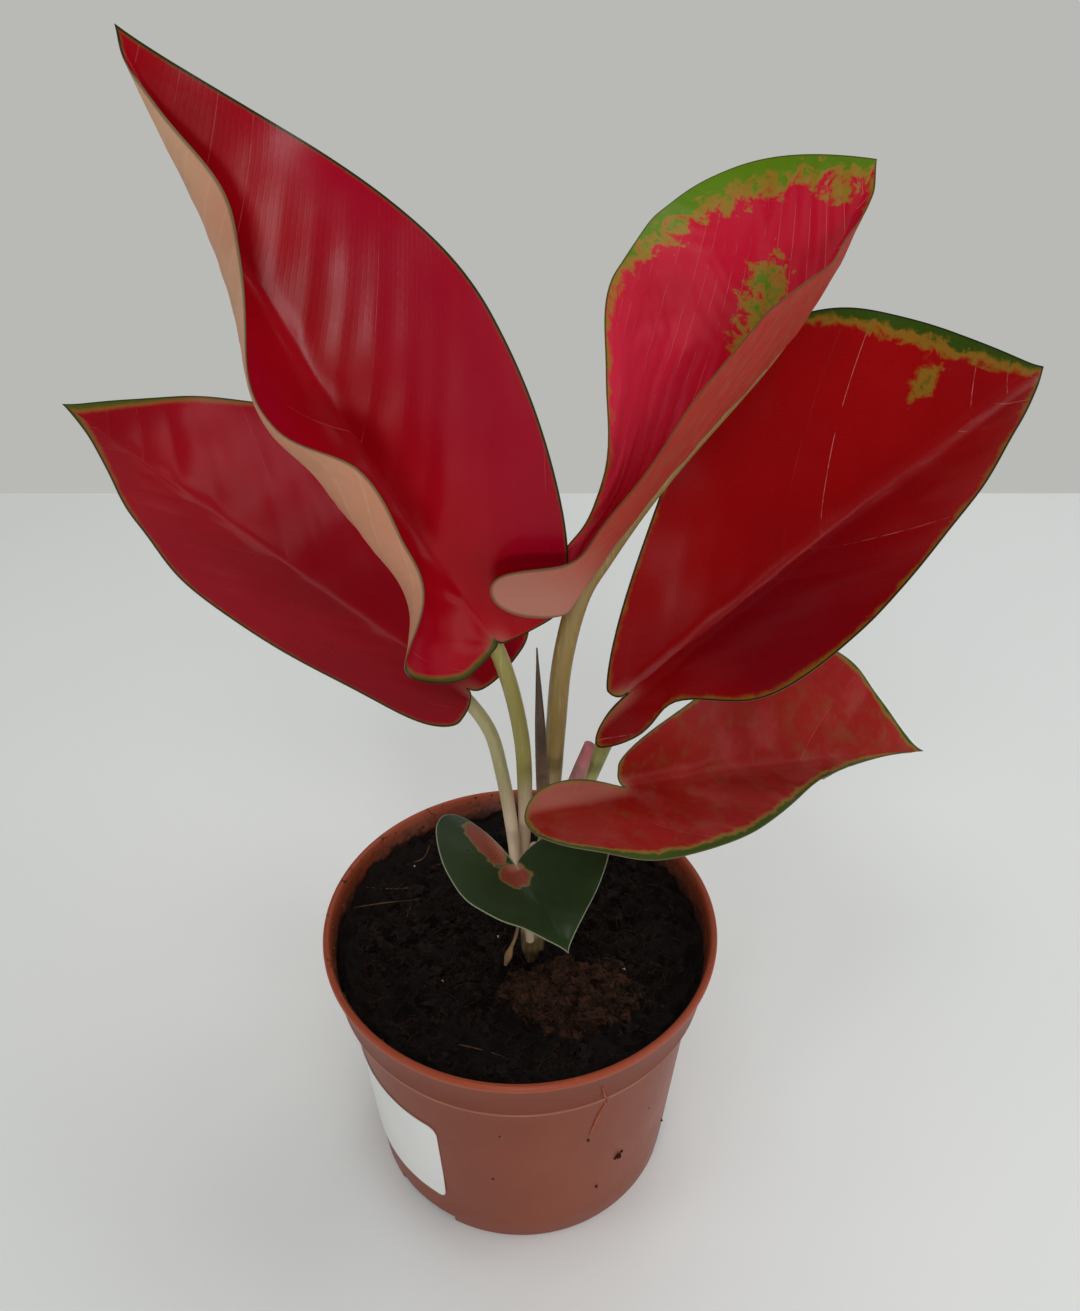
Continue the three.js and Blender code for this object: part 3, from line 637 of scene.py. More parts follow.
def makeBlade(name, material):
    look = leafLook[name]
    points, facts, polygons = bladeNet(name, leafShape[name], look)
    margin, height = facts[:, :1], facts[:, -1:]
    points = points + pointNormals(points, polygons) * height
    normals = pointNormals(points, polygons)
    thin, full = bladeBuild["edgeThick"], bladeBuild["thick"]
    thick = thin + (full - thin) * np.clip(margin / bladeBuild["edge"], 0, 1)
    solid = np.vstack([points + normals * thick / 2, points - normals * thick / 2]) * mm
    names = ("margin", "rib", "vein", "along", "green", "ragged", "rightHalf")
    attributes = {key: np.tile(facts[:, k], 2) for k, key in enumerate(names)}
    attributes["upperFace"] = np.repeat([1.0, 0.0], len(points))
    piece = meshPiece(f"leaf_{name}_blade_skin", solid, sheetFaces(polygons, len(points)), attributes)
    dress(piece, material, 55)
    settle(piece, f"blade_{name}", f"leaf_{name}_blade")


def bladeMaterial(name, look):
    material, recipe = newMaterial(f"{name}Blade")
    vector = recipe.place()
    margin, rib, vein, along, green, stray, rightHalf, upper = [recipe.attribute(key) for key in (
        "margin", "rib", "vein", "along", "green", "ragged", "rightHalf", "upperFace")]
    broad = recipe.grain(vector, 24, 2)
    soft = recipe.grain(vector, 90, 3)
    fine = recipe.grain(vector, 900, 3, 0.6)
    mottle = recipe.grain(vector, 210, 5, 0.62, 0.5)
    foot = look["rearLight"]

    # thin pale lines on some of the side veins, broken here and there
    number = recipe.maths("FLOOR", vein + 0.5)
    chance = recipe.node("ShaderNodeTexWhiteNoise", {"noise_dimensions": "1D"}, {"W": number},
                         output="Value")
    picked = recipe.rise(chance + look["lineShare"], 0.9, 1.0)
    beside = recipe.maths("ABSOLUTE", vein - number)
    trace = recipe.fall(beside, 0.0, 0.14 / look["spacing"] + 0.004)
    paleLine = trace * picked * recipe.rise(recipe.grain(vector, 70, 4, 0.7), 0.42, 0.58)
    # painted shade: the red turns deeper in the hollows along the side veins
    veinValleyShade = recipe.fall(beside, 0.0, 0.16)
    # stripes along the ridges between the side veins, where highlights are painted further down
    pleatSaw = recipe.maths("FRACT", vein * 0.8 + soft * 0.9)
    pleatHighlight = recipe.rise(recipe.maths("ABSOLUTE", pleatSaw - 0.5), 0.2, 0.5)
    smallSaw = recipe.maths("FRACT", vein * 6 + soft * 0.7)
    smallLine = recipe.fall(recipe.maths("ABSOLUTE", smallSaw - 0.5), 0.0, 0.22)

    red = recipe.mix(recipe.rise(broad, 0.3, 0.7), look["deep"], look["face"])
    red = recipe.mix(recipe.rise(rib, 5, 26) * look["blush"], red, look["glow"])
    red = recipe.mix(recipe.fall(rib, 0.3, 1.1) * 0.1, red, look["glow"])
    # painted light: the blade's rear is painted a brighter pink, standing in for light falling on it
    red = recipe.mix(recipe.fall(along, 0.15, 0.6) * foot, red, bladeTints["rearLight"])
    # painted highlights: pale pink streaks on those ridges over the blade's rear, together with the painted
    # light there
    rearPleatHighlight = recipe.fall(along, 0.15, 0.6) * pleatHighlight * recipe.rise(broad, 0.3, 0.6)
    red = recipe.mix(rearPleatHighlight * foot * 0.85, red, bladeTints["pleatHighlight"])
    # painted shade: the right half of the blade is dimmed most from a fifth to a third of the way along,
    # fading out by three quarters
    shadedRightHalf = rightHalf * recipe.band(along, 0.0, 0.2, 0.3, 0.75)
    red = recipe.mix(shadedRightHalf * look["rightShade"], red, bladeTints["rightShade"])
    red = recipe.mix(veinValleyShade * 0.14, red, look["deep"])
    red = recipe.mix(fine * 0.1, red, look["deep"])
    red = recipe.mix(recipe.rise(mottle, 0.45, 0.75) * look["olive"], red, bladeTints["haze"])
    # painted sheen: pale rosy patches over the red, a third as strong as the brownish haze
    red = recipe.mix(recipe.rise(soft, 0.5, 0.7) * look["olive"] * 0.3, red, bladeTints["rosySheen"])
    red = recipe.mix(paleLine * look["lines"], red, bladeTints["vein"])
    nearStalk = recipe.fall(along, -0.02, 0.04) * recipe.fall(rib, 0.5, 5)
    red = recipe.mix(nearStalk * 0.25, red, bladeTints["foot"])

    # green runs in from the margin, with a ragged olive fringe and islands
    speckle = recipe.grain(vector, 620, 4, 0.65, 0.4)
    fade = look["fade"]
    ragged = green + ((mottle - 0.5) * look["ragged"] * 2 + (speckle - 0.5) * fade * 1.6) * stray
    fringe = recipe.rise(ragged + stray * fade, -0.5 * fade, 0.8 * fade) * recipe.rise(stray, 0.15, 0.55)
    painted = recipe.mix(fringe * 0.8, red, look["yellow"])
    leafGreen = recipe.mix(broad, *look["leafGreen"])
    leafGreen = recipe.mix(fine * 0.08, leafGreen, look["yellow"])
    painted = recipe.mix(recipe.rise(ragged, 0.1 * fade, 1.2 * fade), painted, leafGreen)
    borderColour, width = look["border"]
    painted = recipe.mix(recipe.fall(margin, width * 0.5, width * 1.3), painted, borderColour)

    under = recipe.mix(recipe.rise(broad, 0.3, 0.7), *look["under"])
    under = recipe.mix(smallLine * 0.15 + fine * 0.2, under, look["under"][1])
    under = recipe.mix(recipe.fall(beside, 0.02, 0.07) * 0.3, under, look["underLobe"])
    under = recipe.mix(recipe.rise(mottle, 0.4, 0.8) * 0.25, under, bladeTints["underHaze"])
    under = recipe.mix(recipe.fall(along, -0.02, 0.16), under, look["underLobe"])
    under = recipe.mix(recipe.fall(margin, 0.2, 0.9) * 0.7, under, bladeTints["underRim"])
    colour = recipe.mix(upper, under, painted)

    gloss = look["rough"] + (fine - 0.5) * 0.06 + (soft - 0.5) * 0.1 + (1 - upper) * 0.26
    relief = fine * 0.2 + smallLine * 0.08 + soft * 0.8
    finishMaterial(recipe, colour, gloss, relief, bump=0.16, depth=0.0003, shine=look["shine"])
    return material


def sweepTree():
    # a round rod along each curve, as thick as the curve's radius says
    tree, recipe, given = newTree("sweptStalk", [("Sides", "Int"), ("Skin", "Material")])
    sides = given.output("Sides")
    ring = recipe.node("GeometryNodeCurvePrimitiveCircle", {}, {"Resolution": sides, "Radius": 1.0})
    rod = recipe.node("GeometryNodeCurveToMesh", {}, {
        "Curve": given, "Profile Curve": ring, "Fill Caps": True,
        "Scale": recipe.node("GeometryNodeInputRadius")})
    rod = recipe.node("GeometryNodeSetShadeSmooth", {}, {"Geometry": rod})
    rod = recipe.node("GeometryNodeRealizeInstances", {}, {"Geometry": rod})
    rod = recipe.node("GeometryNodeSetMaterial", {}, {"Geometry": rod, "Material": given.output("Skin")})
    recipe.node("NodeGroupOutput", {}, {"Geometry": rod})
    return tree


stalkTree = sweepTree()


def smoothPath(points, count):
    # evenly spaced places along a centripetal curve through the points, and its length
    p = np.asarray(points, float)
    p = np.vstack([2 * p[0] - p[1], p, 2 * p[-1] - p[-2]])
    knots = np.concatenate([[0], np.cumsum(np.linalg.norm(np.diff(p, axis=0), axis=1) ** 0.5)])
    dense = []
    for i in range(1, len(p) - 2):
        t = np.linspace(knots[i], knots[i + 1], 30, endpoint=False)[:, None]
        k0, k1, k2, k3 = knots[i - 1:i + 3]
        a1 = (k1 - t) / (k1 - k0) * p[i - 1] + (t - k0) / (k1 - k0) * p[i]
        a2 = (k2 - t) / (k2 - k1) * p[i] + (t - k1) / (k2 - k1) * p[i + 1]
        a3 = (k3 - t) / (k3 - k2) * p[i + 1] + (t - k2) / (k3 - k2) * p[i + 2]
        b1 = (k2 - t) / (k2 - k0) * a1 + (t - k0) / (k2 - k0) * a2
        b2 = (k3 - t) / (k3 - k1) * a2 + (t - k1) / (k3 - k1) * a3
        dense.append((k2 - t) / (k2 - k1) * b1 + (t - k1) / (k2 - k1) * b2)
    dense = np.vstack(dense + [p[-2:-1]])
    along = np.concatenate([[0], np.cumsum(np.linalg.norm(np.diff(dense, axis=0), axis=1))])
    even = np.linspace(0, along[-1], count)
    return np.column_stack([np.interp(even, along, dense[:, k]) for k in range(3)]), along[-1]


def makeStalk(name, path, radii, material, sides=20):
    curve = bpy.data.curves.new(name, "CURVE")
    curve.dimensions = "3D"
    spline = curve.splines.new("POLY")
    spline.points.add(len(path) - 1)
    for point, place, radius in zip(spline.points, path, radii):
        point.co = tuple(place * mm) + (1,)
        point.radius = radius * mm
    return runTree(addObject(name, curve), stalkTree, {"Sides": sides, "Skin": material})


# ribEnd: how far the midrib runs along the blade, from 0 to 1; foot: the radius down at the stem; flare: the
# share of the stalk below the blade on which it changes from that radius to its own; sunk: how deep the rib
# lies below the blade's middle surface
stalkBuild = {"rings": 120, "ribEnd": 0.96, "foot": 1.6, "flare": 0.45, "sunk": 0.55}
stalkLook = {
    "tall": ("8c8446", "9c9252"), "left": ("9c9464", "aca478"), "upper": ("806836", "98804c"),
    "right": ("8e9048", "9e9e5c"), "low": ("8c7c4c", "a0905c"), "small": ("8a8858", "98966a"),
}
stalkTints = {"foot": ("c6aa90", "d6c2a6"), "streak": "c9c49a"}


def ribRadius(leaf, share):
    # the midrib thins out towards the blade's tip, where share is 1
    return leaf["radius"] * np.maximum(1 - 0.72 * share, 0.16) * np.clip((1 - share) / 0.35, 0.25, 1)


def makePetiole(name, material):
    # rises beside the stem and runs on below the blade as its midrib
    leaf, rings, ribEnd = leafShape[name], stalkBuild["rings"], stalkBuild["ribEnd"]
    share = np.array([0.03, 0.1, 0.2, 0.3, 0.4, 0.5, 0.6, 0.7, 0.8, 0.9, ribEnd])
    point, _, face = midrib(leaf, share * leaf["length"])
    rib = point - face * (ribRadius(leaf, share) * 0.9 + stalkBuild["sunk"])[:, None]
    path, length = smoothPath(np.vstack([leaf["petiole"], rib]), rings)
    bladeStart = 1 - leaf["length"] * ribEnd / length
    u = np.linspace(0, 1, rings)
    thick = ribRadius(leaf, np.clip((u - bladeStart) / (1 - bladeStart), 0, 1) * ribEnd)
    flare = np.clip(u / (bladeStart * stalkBuild["flare"]), 0, 1)
    flare = flare * flare * (3 - 2 * flare)
    foot = min(stalkBuild["foot"], leaf["radius"])
    piece = makeStalk(f"leaf_{name}_petiole_skin", path, foot + (thick - foot) * flare, material)
    settle(piece, "petiole_green", f"leaf_{name}_petiole")


def petioleMaterial(name):
    # green above, cream and rosy where the stalks sheathe the stem
    material, recipe = newMaterial(f"{name}Stalk")
    vector = recipe.place()
    streaks = recipe.grain(recipe.place((1, 1, 0.08)), 900, 3, 0.6)
    broad = recipe.grain(vector, 45, 2)
    above = recipe.rise(recipe.axis(vector, "Z") + (broad - 0.5) * 0.02, 0.128, 0.154)
    colour = recipe.mix(above, recipe.mix(broad, *stalkTints["foot"]), recipe.mix(broad, *stalkLook[name]))
    colour = recipe.mix(recipe.rise(streaks, 0.5, 0.75) * 0.25, colour, stalkTints["streak"])
    gloss = 0.42 + (streaks - 0.5) * 0.15
    finishMaterial(recipe, colour, gloss, streaks, bump=0.3, depth=0.0003, shine=0.4)
    return material


for leafName in leafShape:
    makeBlade(leafName, bladeMaterial(leafName, leafLook[leafName]))
    makePetiole(leafName, petioleMaterial(leafName))
report("leaves")


# stem, new leaf, sheath and root

# band: the heights in mm between which the first colour gives way to the second; the third is the streaks'
stem = {
    "path": ((3.5, -3, 70.5), (3.8, -2.4, 90), (4.3, -0.8, 108), (4.6, 0, 124)),
    "radii": (3.4, 3.7, 3.9, 1.6),
    "band": (88, 99), "colours": ("5c4e2c", "c9ad98", "b8907c"), "rough": 0.45,
}
newLeaf = {
    "path": ((6.6, -4.9, 112), (7.4, -5.2, 130), (6.4, -3.4, 160), (5.2, 0, 193.6)),
    "radii": (1.4, 1.8, 2.0, 1.9, 1.7, 1.4, 0.8, 0.2),
    "band": (130, 166), "colours": ("9a7254", "3a2a18", "6a4432"), "rough": 0.5,
}
sheath = {
    "path": ((8.2, -0.8, 117), (9.2, -1.2, 128), (12.4, -0.4, 138), (16.4, 0.8, 149), (19.6, 1.6, 160.5)),
    "radii": (0.7, 1.2, 2.0, 2.2, 2.1, 1.5),
    "band": (136, 162), "colours": ("cca294", "b4686c", "8c4048"), "rough": 0.55,
}
root = {
    "path": ((1.2, -4.7, 100), (-0.2, -6.3, 98), (-1.4, -8.2, 94), (-3, -9.8, 90), (-4.4, -11, 85)),
    "radii": (0.5, 0.5, 0.5, 0.55, 1.2, 0.6),
    "band": (84, 96), "colours": ("9a7850", "7c5c3c", "5c4028"), "rough": 0.8,
}


def bandedMaterial(name, shape):
    # one colour below, another above, with fine streaks along the height
    material, recipe = newMaterial(name)
    vector = recipe.place()
    below, above, streak = shape["colours"]
    low, high = shape["band"]
    streaks = recipe.grain(recipe.place((1, 1, 0.1)), 1100, 4, 0.65)
    broad = recipe.grain(vector, 90, 3)
    height = recipe.axis(vector, "Z") + (broad - 0.5) * 0.02
    colour = recipe.mix(recipe.rise(height, low * mm, high * mm), below, above)
    colour = recipe.mix(recipe.rise(streaks, 0.45, 0.75) * 0.5, colour, streak)
    gloss = shape["rough"] + (broad - 0.5) * 0.2
    finishMaterial(recipe, colour, gloss, streaks + broad, bump=0.35, depth=0.0004)
    return material


def makeRod(nodeName, shape, materialName, slotName, rings=80):
    path = smoothPath(shape["path"], rings)[0]
    radii = station(shape["radii"], np.linspace(0, 1, rings))
    piece = makeStalk(f"{nodeName}_skin", path, radii, bandedMaterial(materialName, shape))
    settle(piece, slotName, nodeName)


makeRod("stem", stem, "creamStem", "stem_cream")
makeRod("new_leaf_roll", newLeaf, "rolledLeaf", "new_leaf_olive")
makeRod("stem_sheath", sheath, "drySheath", "sheath_pink")
makeRod("root_thread", root, "dryRoot", "root_tan")
report("stem and shoots")


# pot

# rim, collarFoot, shoulder and base: outer radii from top to bottom; notchSpan and notchTurns: in degrees
pot = {
    "rim": 60, "height": 93.4, "base": 48.2, "wall": 1.5, "floor": 2, "collar": 17.4, "collarFoot": 56.9,
    "shoulder": 54.3, "lip": 0.6, "notchHeight": 3.4, "notchSpan": 28, "notchTurns": (-130, -10, 110),
    "sides": 240,
}
# edge: the collar's paler lower edge, with painted shade on the wall under it; clinging: the soil that sticks
# to the inner wall
potTints = {
    "plastic": ("7a331a", "863d21"), "lip": "a8482a", "smudge": "a8705c", "grime": "4c2a1c",
    "edge": "c08a74", "ledgeShade": "5c2a18", "collar": "5a2413", "inside": "5c2c1a",
    "clinging": "22130c", "scuff": "b88470",
}
# the height of the collar's lower edge
ledge = pot["height"] - pot["collar"]


def wallRadius(z, step=0.0):
    # the outer wall, where the collar takes over at step above its lower edge
    if z < ledge + step:
        return pot["base"] + (pot["shoulder"] - pot["base"]) * z / ledge
    return pot["collarFoot"] + (pot["rim"] - pot["lip"] - pot["collarFoot"]) * (z - ledge) / pot["collar"]


def boreRadius(z):
    return wallRadius(z, pot["wall"]) - pot["wall"]


def turned(name, profile, sides):
    # a closed profile of (radius, height) turned about the pot's axis
    points, rings, faces = [], [], []
    for radius, height in profile:
        if radius == 0:
            rings.append([len(points)] * sides)
            points.append((0, 0, height * mm))
            continue
        rings.append(list(range(len(points), len(points) + sides)))
        points += ringPoints(radius, height, sides)
    for lower, upper in zip(rings, rings[1:] + rings[:1]):
        for k in range(sides):
            corners = [lower[k], lower[(k + 1) % sides], upper[(k + 1) % sides], upper[k]]
            corners = [c for i, c in enumerate(corners) if c != corners[i - 1]]
            if len(corners) > 2:
                faces.append(corners)
    return meshPiece(name, points, faces)


def ringBlock(name, inner, outer, low, high, turn, span):
    # a curved bar, used to cut a drain notch
    steps = 12
    points = []
    for k in range(steps + 1):
        a = math.radians(turn + span * (k / steps - 0.5))
        points += [(r * mm * math.cos(a), r * mm * math.sin(a), z * mm)
                   for r, z in ((inner, low), (outer, low), (outer, high), (inner, high))]
    faces = [(3, 2, 1, 0), tuple(4 * steps + i for i in range(4))]
    for k in range(steps):
        a = 4 * k
        faces += [(a + i, a + (i + 1) % 4, a + 4 + (i + 1) % 4, a + 4 + i) for i in range(4)]
    return meshPiece(name, points, faces)


def makePot(material):
    base, foot, rim, top, floor = pot["base"], pot["collarFoot"], pot["rim"], pot["height"], pot["floor"]
    # up the outside to the collar
    profile = [(0, 0), (base - 1.2, 0), (base - 0.35, 0.35), (base, 1.2)]
    for k in range(1, 11):
        z = 1.2 + (ledge - 0.9 - 1.2) * k / 10
        profile.append((wallRadius(z), z))
    profile += [(pot["shoulder"] + 0.05, ledge - 0.35), (pot["shoulder"] + 0.4, ledge)]
    # the collar and the rounded lip
    profile += [
        (foot - 0.5, ledge), (foot - 0.1, ledge + 0.25), (foot, ledge + 0.8), (foot + 0.02, ledge + 1.5),
        (foot - 0.1, ledge + 1.9), (rim - pot["lip"] - 0.35, top - 3.0), (rim - pot["lip"] - 0.3, top - 2.5),
        (rim - 0.2, top - 2.2), (rim - 0.02, top - 1.8), (rim, top - 0.9), (rim - 0.15, top - 0.35),
        (rim - 0.5, top - 0.05), (rim - 0.9, top), (rim - 1.4, top - 0.05), (rim - 1.8, top - 0.35)]
    # down the bore to the floor
    profile += [
        (boreRadius(top - 1), top - 1), (boreRadius(ledge + 1.9), ledge + 1.9),
        (boreRadius(ledge + 1.5) - 0.3, ledge + 1.3), (boreRadius(ledge), ledge),
        (boreRadius(floor + 1), floor + 1), (boreRadius(floor) - 1, floor), (0, floor)]
    piece = turned("pot_skin", profile, pot["sides"])
    faceOutward(piece)
    for turn in pot["notchTurns"]:
        block = ringBlock("notchBlock", base - 4, base + 3, -1, pot["notchHeight"], turn, pot["notchSpan"])
        faceOutward(block)
        cut = piece.modifiers.new("notch", "BOOLEAN")
        cut.operation, cut.solver, cut.object = "DIFFERENCE", "EXACT", block
        mesh = plainMesh(piece)
        piece.modifiers.clear()
        piece.data = mesh
        bpy.data.objects.remove(block)
    dress(piece, material, 35)
    settle(piece, "pot_terracotta", "pot")


def potMaterial():
    material, recipe = newMaterial("terracottaPlastic")
    vector = recipe.place()
    x, y, z = [recipe.axis(vector, name) for name in "XYZ"]
    broad = recipe.grain(vector, 18, 3)
    smudge = recipe.grain(recipe.place((1, 1, 0.5)), 45, 5, 0.65, 0.6)
    dust = recipe.grain(vector, 320, 5, 0.7)
    fine = recipe.grain(vector, 1400, 3, 0.6)
    scuff = recipe.grain(recipe.place((1, 1, 5)), 500, 4, 0.6)
    radius = recipe.maths("SQRT", x * x + y * y)
    step = ledge * mm
    collarWall = pot["collarFoot"] * mm + (z - step) * (2.5 / pot["collar"])
    inside = recipe.rise(collarWall - radius, 0.8 * mm, 1.3 * mm) * recipe.rise(z, 0.078, 0.08)

    colour = recipe.mix(recipe.rise(broad, 0.25, 0.75), *potTints["plastic"])
    colour = recipe.mix(recipe.rise(z, 0.0905, 0.092) * 0.7, colour, potTints["lip"])
    colour = recipe.mix(recipe.rise(smudge, 0.5, 0.75) * 0.12, colour, potTints["smudge"])
    grime = recipe.rise(smudge, 0.62, 0.8) * recipe.rise(dust, 0.5, 0.7)
    colour = recipe.mix(grime * 0.45, colour, potTints["grime"])

    # the collar's lower edge is paler, and the wall just under it is dimmed with painted shade
    edge = recipe.band(z, step - 0.1 * mm, step + 0.3 * mm, step + 0.9 * mm, step + 1.6 * mm)
    colour = recipe.mix(edge * recipe.rise(broad, 0.2, 0.6) * 0.4, colour, potTints["edge"])
    ledgeShade = recipe.band(z, step - 2.5 * mm, step - 0.2 * mm, step - 0.2 * mm, step)
    colour = recipe.mix(ledgeShade * 0.25, colour, potTints["ledgeShade"])
    collar = recipe.band(z, step + 0.9 * mm, step + 2 * mm, 0.0895, 0.091)
    colour = recipe.mix(collar * 0.3, colour, potTints["collar"])

    # the inner wall is darkened overall, and soil clings to it, less and less towards the rim
    cling = inside * recipe.rise(dust - (z - 0.086) * 45, 0.3, 0.6)
    colour = recipe.mix(inside * 0.35, colour, potTints["inside"])
    colour = recipe.mix(cling * 0.85, colour, potTints["clinging"])
    colour = recipe.mix(recipe.rise(scuff, 0.55, 0.8) * (1 - inside) * 0.18, colour, potTints["scuff"])
    gloss = 0.4 + (smudge - 0.5) * 0.3 + (scuff - 0.5) * 0.15 + (fine - 0.5) * 0.1 + cling * 0.3
    relief = fine * 0.4 + smudge + cling * dust * 2
    finishMaterial(recipe, colour, gloss, relief, bump=0.12, depth=0.0005, shine=0.28)
    return material


makePot(potMaterial())
report("pot")


# sticker

# foot: the height of its lower edge; turn: where its middle lies, in degrees round the pot; peel: how far
# one corner stands off the wall
sticker = {
    "width": 56, "height": 40, "foot": 15.2, "turn": -151, "corner": 3.5, "thick": 0.25, "gap": 0.12,
    "peel": 0.35, "columns": 90, "rows": 50,
    "paper": ("e0e1df", "eaebe8"), "fibre": "bdbcb4",
}


def stickerPoint(u, q, layer):
    # u round the wall and q up it, from 0 to 1; the ends are pulled in to round the corners
    corner = sticker["corner"]
    fromEnd = min(u, 1 - u) * sticker["width"]
    inset = 0
    if fromEnd < corner:
        inset = corner - math.sqrt(corner ** 2 - (corner - fromEnd) ** 2)
    inset = min(inset, corner * 0.98)
    z = sticker["foot"] + inset + (sticker["height"] - 2 * inset) * q
    # the lower right corner has come off the wall a little
    lift = sticker["gap"] + sticker["peel"] * max(0, u - 0.93) / 0.07 * max(0, 0.3 - q) / 0.3
    radius = wallRadius(z) + lift + layer * sticker["thick"]
    a = math.radians(sticker["turn"]) + (u - 0.5) * sticker["width"] / pot["base"]
    return (radius * mm * math.cos(a), radius * mm * math.sin(a), z * mm)


def stickerMaterial():
    material, recipe = newMaterial("blankPaper")
    vector = recipe.place()
    fibre = recipe.grain(vector, 1200, 4, 0.7)
    colour = recipe.mix(recipe.grain(vector, 50, 3), *sticker["paper"])
    colour = recipe.mix(recipe.rise(fibre, 0.5, 0.8) * 0.15, colour, sticker["fibre"])
    finishMaterial(recipe, colour, 0.55 + (fibre - 0.5) * 0.1, fibre, bump=0.1, depth=0.0002)
    return material


def makeSticker(material):
    columns, rows = sticker["columns"], sticker["rows"]
    points = [stickerPoint(i / columns, j / rows, layer)
              for layer in (1, 0) for i in range(columns + 1) for j in range(rows + 1)]
    faces = sheetFaces(gridFaces(columns, rows).tolist(), (columns + 1) * (rows + 1))
    piece = meshPiece("label_skin", points, faces)
    dress(piece, material, 40)
    settle(piece, "label_white", "label")


makeSticker(stickerMaterial())
report("sticker")


# soil

# coir: centre and radii of the brown lump; bank: the direction in which the soil is piled up, and how high
soil = {
    "level": 83, "lump": 1.4, "rings": 120, "sides": 260, "gap": 0.1,
    "coir": (15, -22, 19, 12), "bank": (-0.75, 0.66, 3.0),
    "mix": ("080504", "170e0a"), "fibre": "301a11", "speck": "3c2619", "coirFibre": "382014",
}


def lumps(x, y, scale, seed):
    return noise.noise(Vector((x * scale, y * scale, seed)))


def coirShare(x, y):
    # 1 in the middle of the clump of coir, 0 away from it, with a ragged edge
    cx, cy, rx, ry = soil["coir"]
    reach = math.hypot((x - cx) / rx, (y - cy) / ry) + 0.35 * lumps(x, y, 0.16, 3.0)
    return min(1.0, max(0.0, (1.15 - reach) / 0.35))


def soilHeight(x, y):
    waves = (math.sin(0.31 * x + 0.17 * y) + math.sin(0.23 * y - 0.12 * x + 1.3)
             + 0.6 * math.sin(0.61 * x - 0.47 * y + 0.4) + 0.5 * math.sin(0.55 * x + 0.83 * y + 2.1))
    rough = noise.fractal(Vector((x * 0.11, y * 0.11, 4.2)), 0.7, 2.1, 7)
    clod = abs(lumps(x, y, 0.16, 9.1)) + 0.4 * abs(lumps(x, y, 0.42, 5.3))
    ax, ay, lift = soil["bank"]
    bank = lift * max(0.0, (x * ax + y * ay) / 56) ** 2
    level = soil["level"] + soil["lump"] * waves / 3.1
    return level + 1.9 * rough - 5.2 * clod + 2.0 + bank + 2.4 * coirShare(x, y)


def soilMaterial():
    material, recipe = newMaterial("pottingMix")
    vector = recipe.place()
    coir = recipe.attribute("coir")
    clods = recipe.grain(vector, 120, 5, 0.7, 0.3)
    fibres = recipe.grain(recipe.place((1, 3.2, 1)), 420, 5, 0.75, 1.2)
    fine = recipe.grain(vector, 1500, 3, 0.7)
    colour = recipe.mix(clods, *soil["mix"])
    colour = recipe.mix(recipe.rise(fibres, 0.55, 0.75) * 0.5, colour, soil["fibre"])
    colour = recipe.mix(recipe.rise(fine, 0.6, 0.8) * 0.25, colour, soil["speck"])
    colour = recipe.mix(coir * recipe.rise(fibres, 0.35, 0.65) * 0.7, colour, soil["coirFibre"])
    gloss = 0.85 + (clods - 0.5) * 0.2
    finishMaterial(recipe, colour, gloss, clods + fine * 0.6, bump=0.8, depth=0.0012, shine=0.2)
    return material


def makeSoil(material):
    # closed filling: the lumpy top out to the wall, then down inside the pot
    rings, sides = soil["rings"], soil["sides"]
    reach = boreRadius(soil["level"]) - soil["gap"]
    points, coir = [(0, 0, soilHeight(0, 0) * mm)], [coirShare(0, 0)]
    for i in range(1, rings + 1):
        radius = reach * (i / rings) ** 0.85
        for k in range(sides):
            a = 2 * math.pi * k / sides
            x, y = radius * math.cos(a), radius * math.sin(a)
            z = soilHeight(x, y)
            fitted = min(radius, boreRadius(z) - soil["gap"])
            points.append((fitted * math.cos(a) * mm, fitted * math.sin(a) * mm, z * mm))
            coir.append(coirShare(x, y))
    wall = ((boreRadius(78) - 0.5, 77.8), (boreRadius(74) - 0.3, 75.6), (boreRadius(3) - 0.3, 2.4))
    for radius, z in wall:
        points += ringPoints(radius, z, sides)
    points.append((0, 0, 2.4 * mm))
    coir += [0.0] * (len(points) - len(coir))

    faces = [(0, 1 + k, 1 + (k + 1) % sides) for k in range(sides)]
    loops = rings + len(wall)
    for i in range(loops - 1):
        a, b = 1 + i * sides, 1 + (i + 1) * sides
        faces += [(a + k, b + k, b + (k + 1) % sides, a + (k + 1) % sides) for k in range(sides)]
    last = 1 + (loops - 1) * sides
    faces += [(last + (k + 1) % sides, last + k, len(points) - 1) for k in range(sides)]
    piece = meshPiece("soil_skin", points, faces, {"coir": coir})
    dress(piece, material, 60)
    settle(piece, "soil_dark", "soil")


# crumbs, fibres and straw on the soil

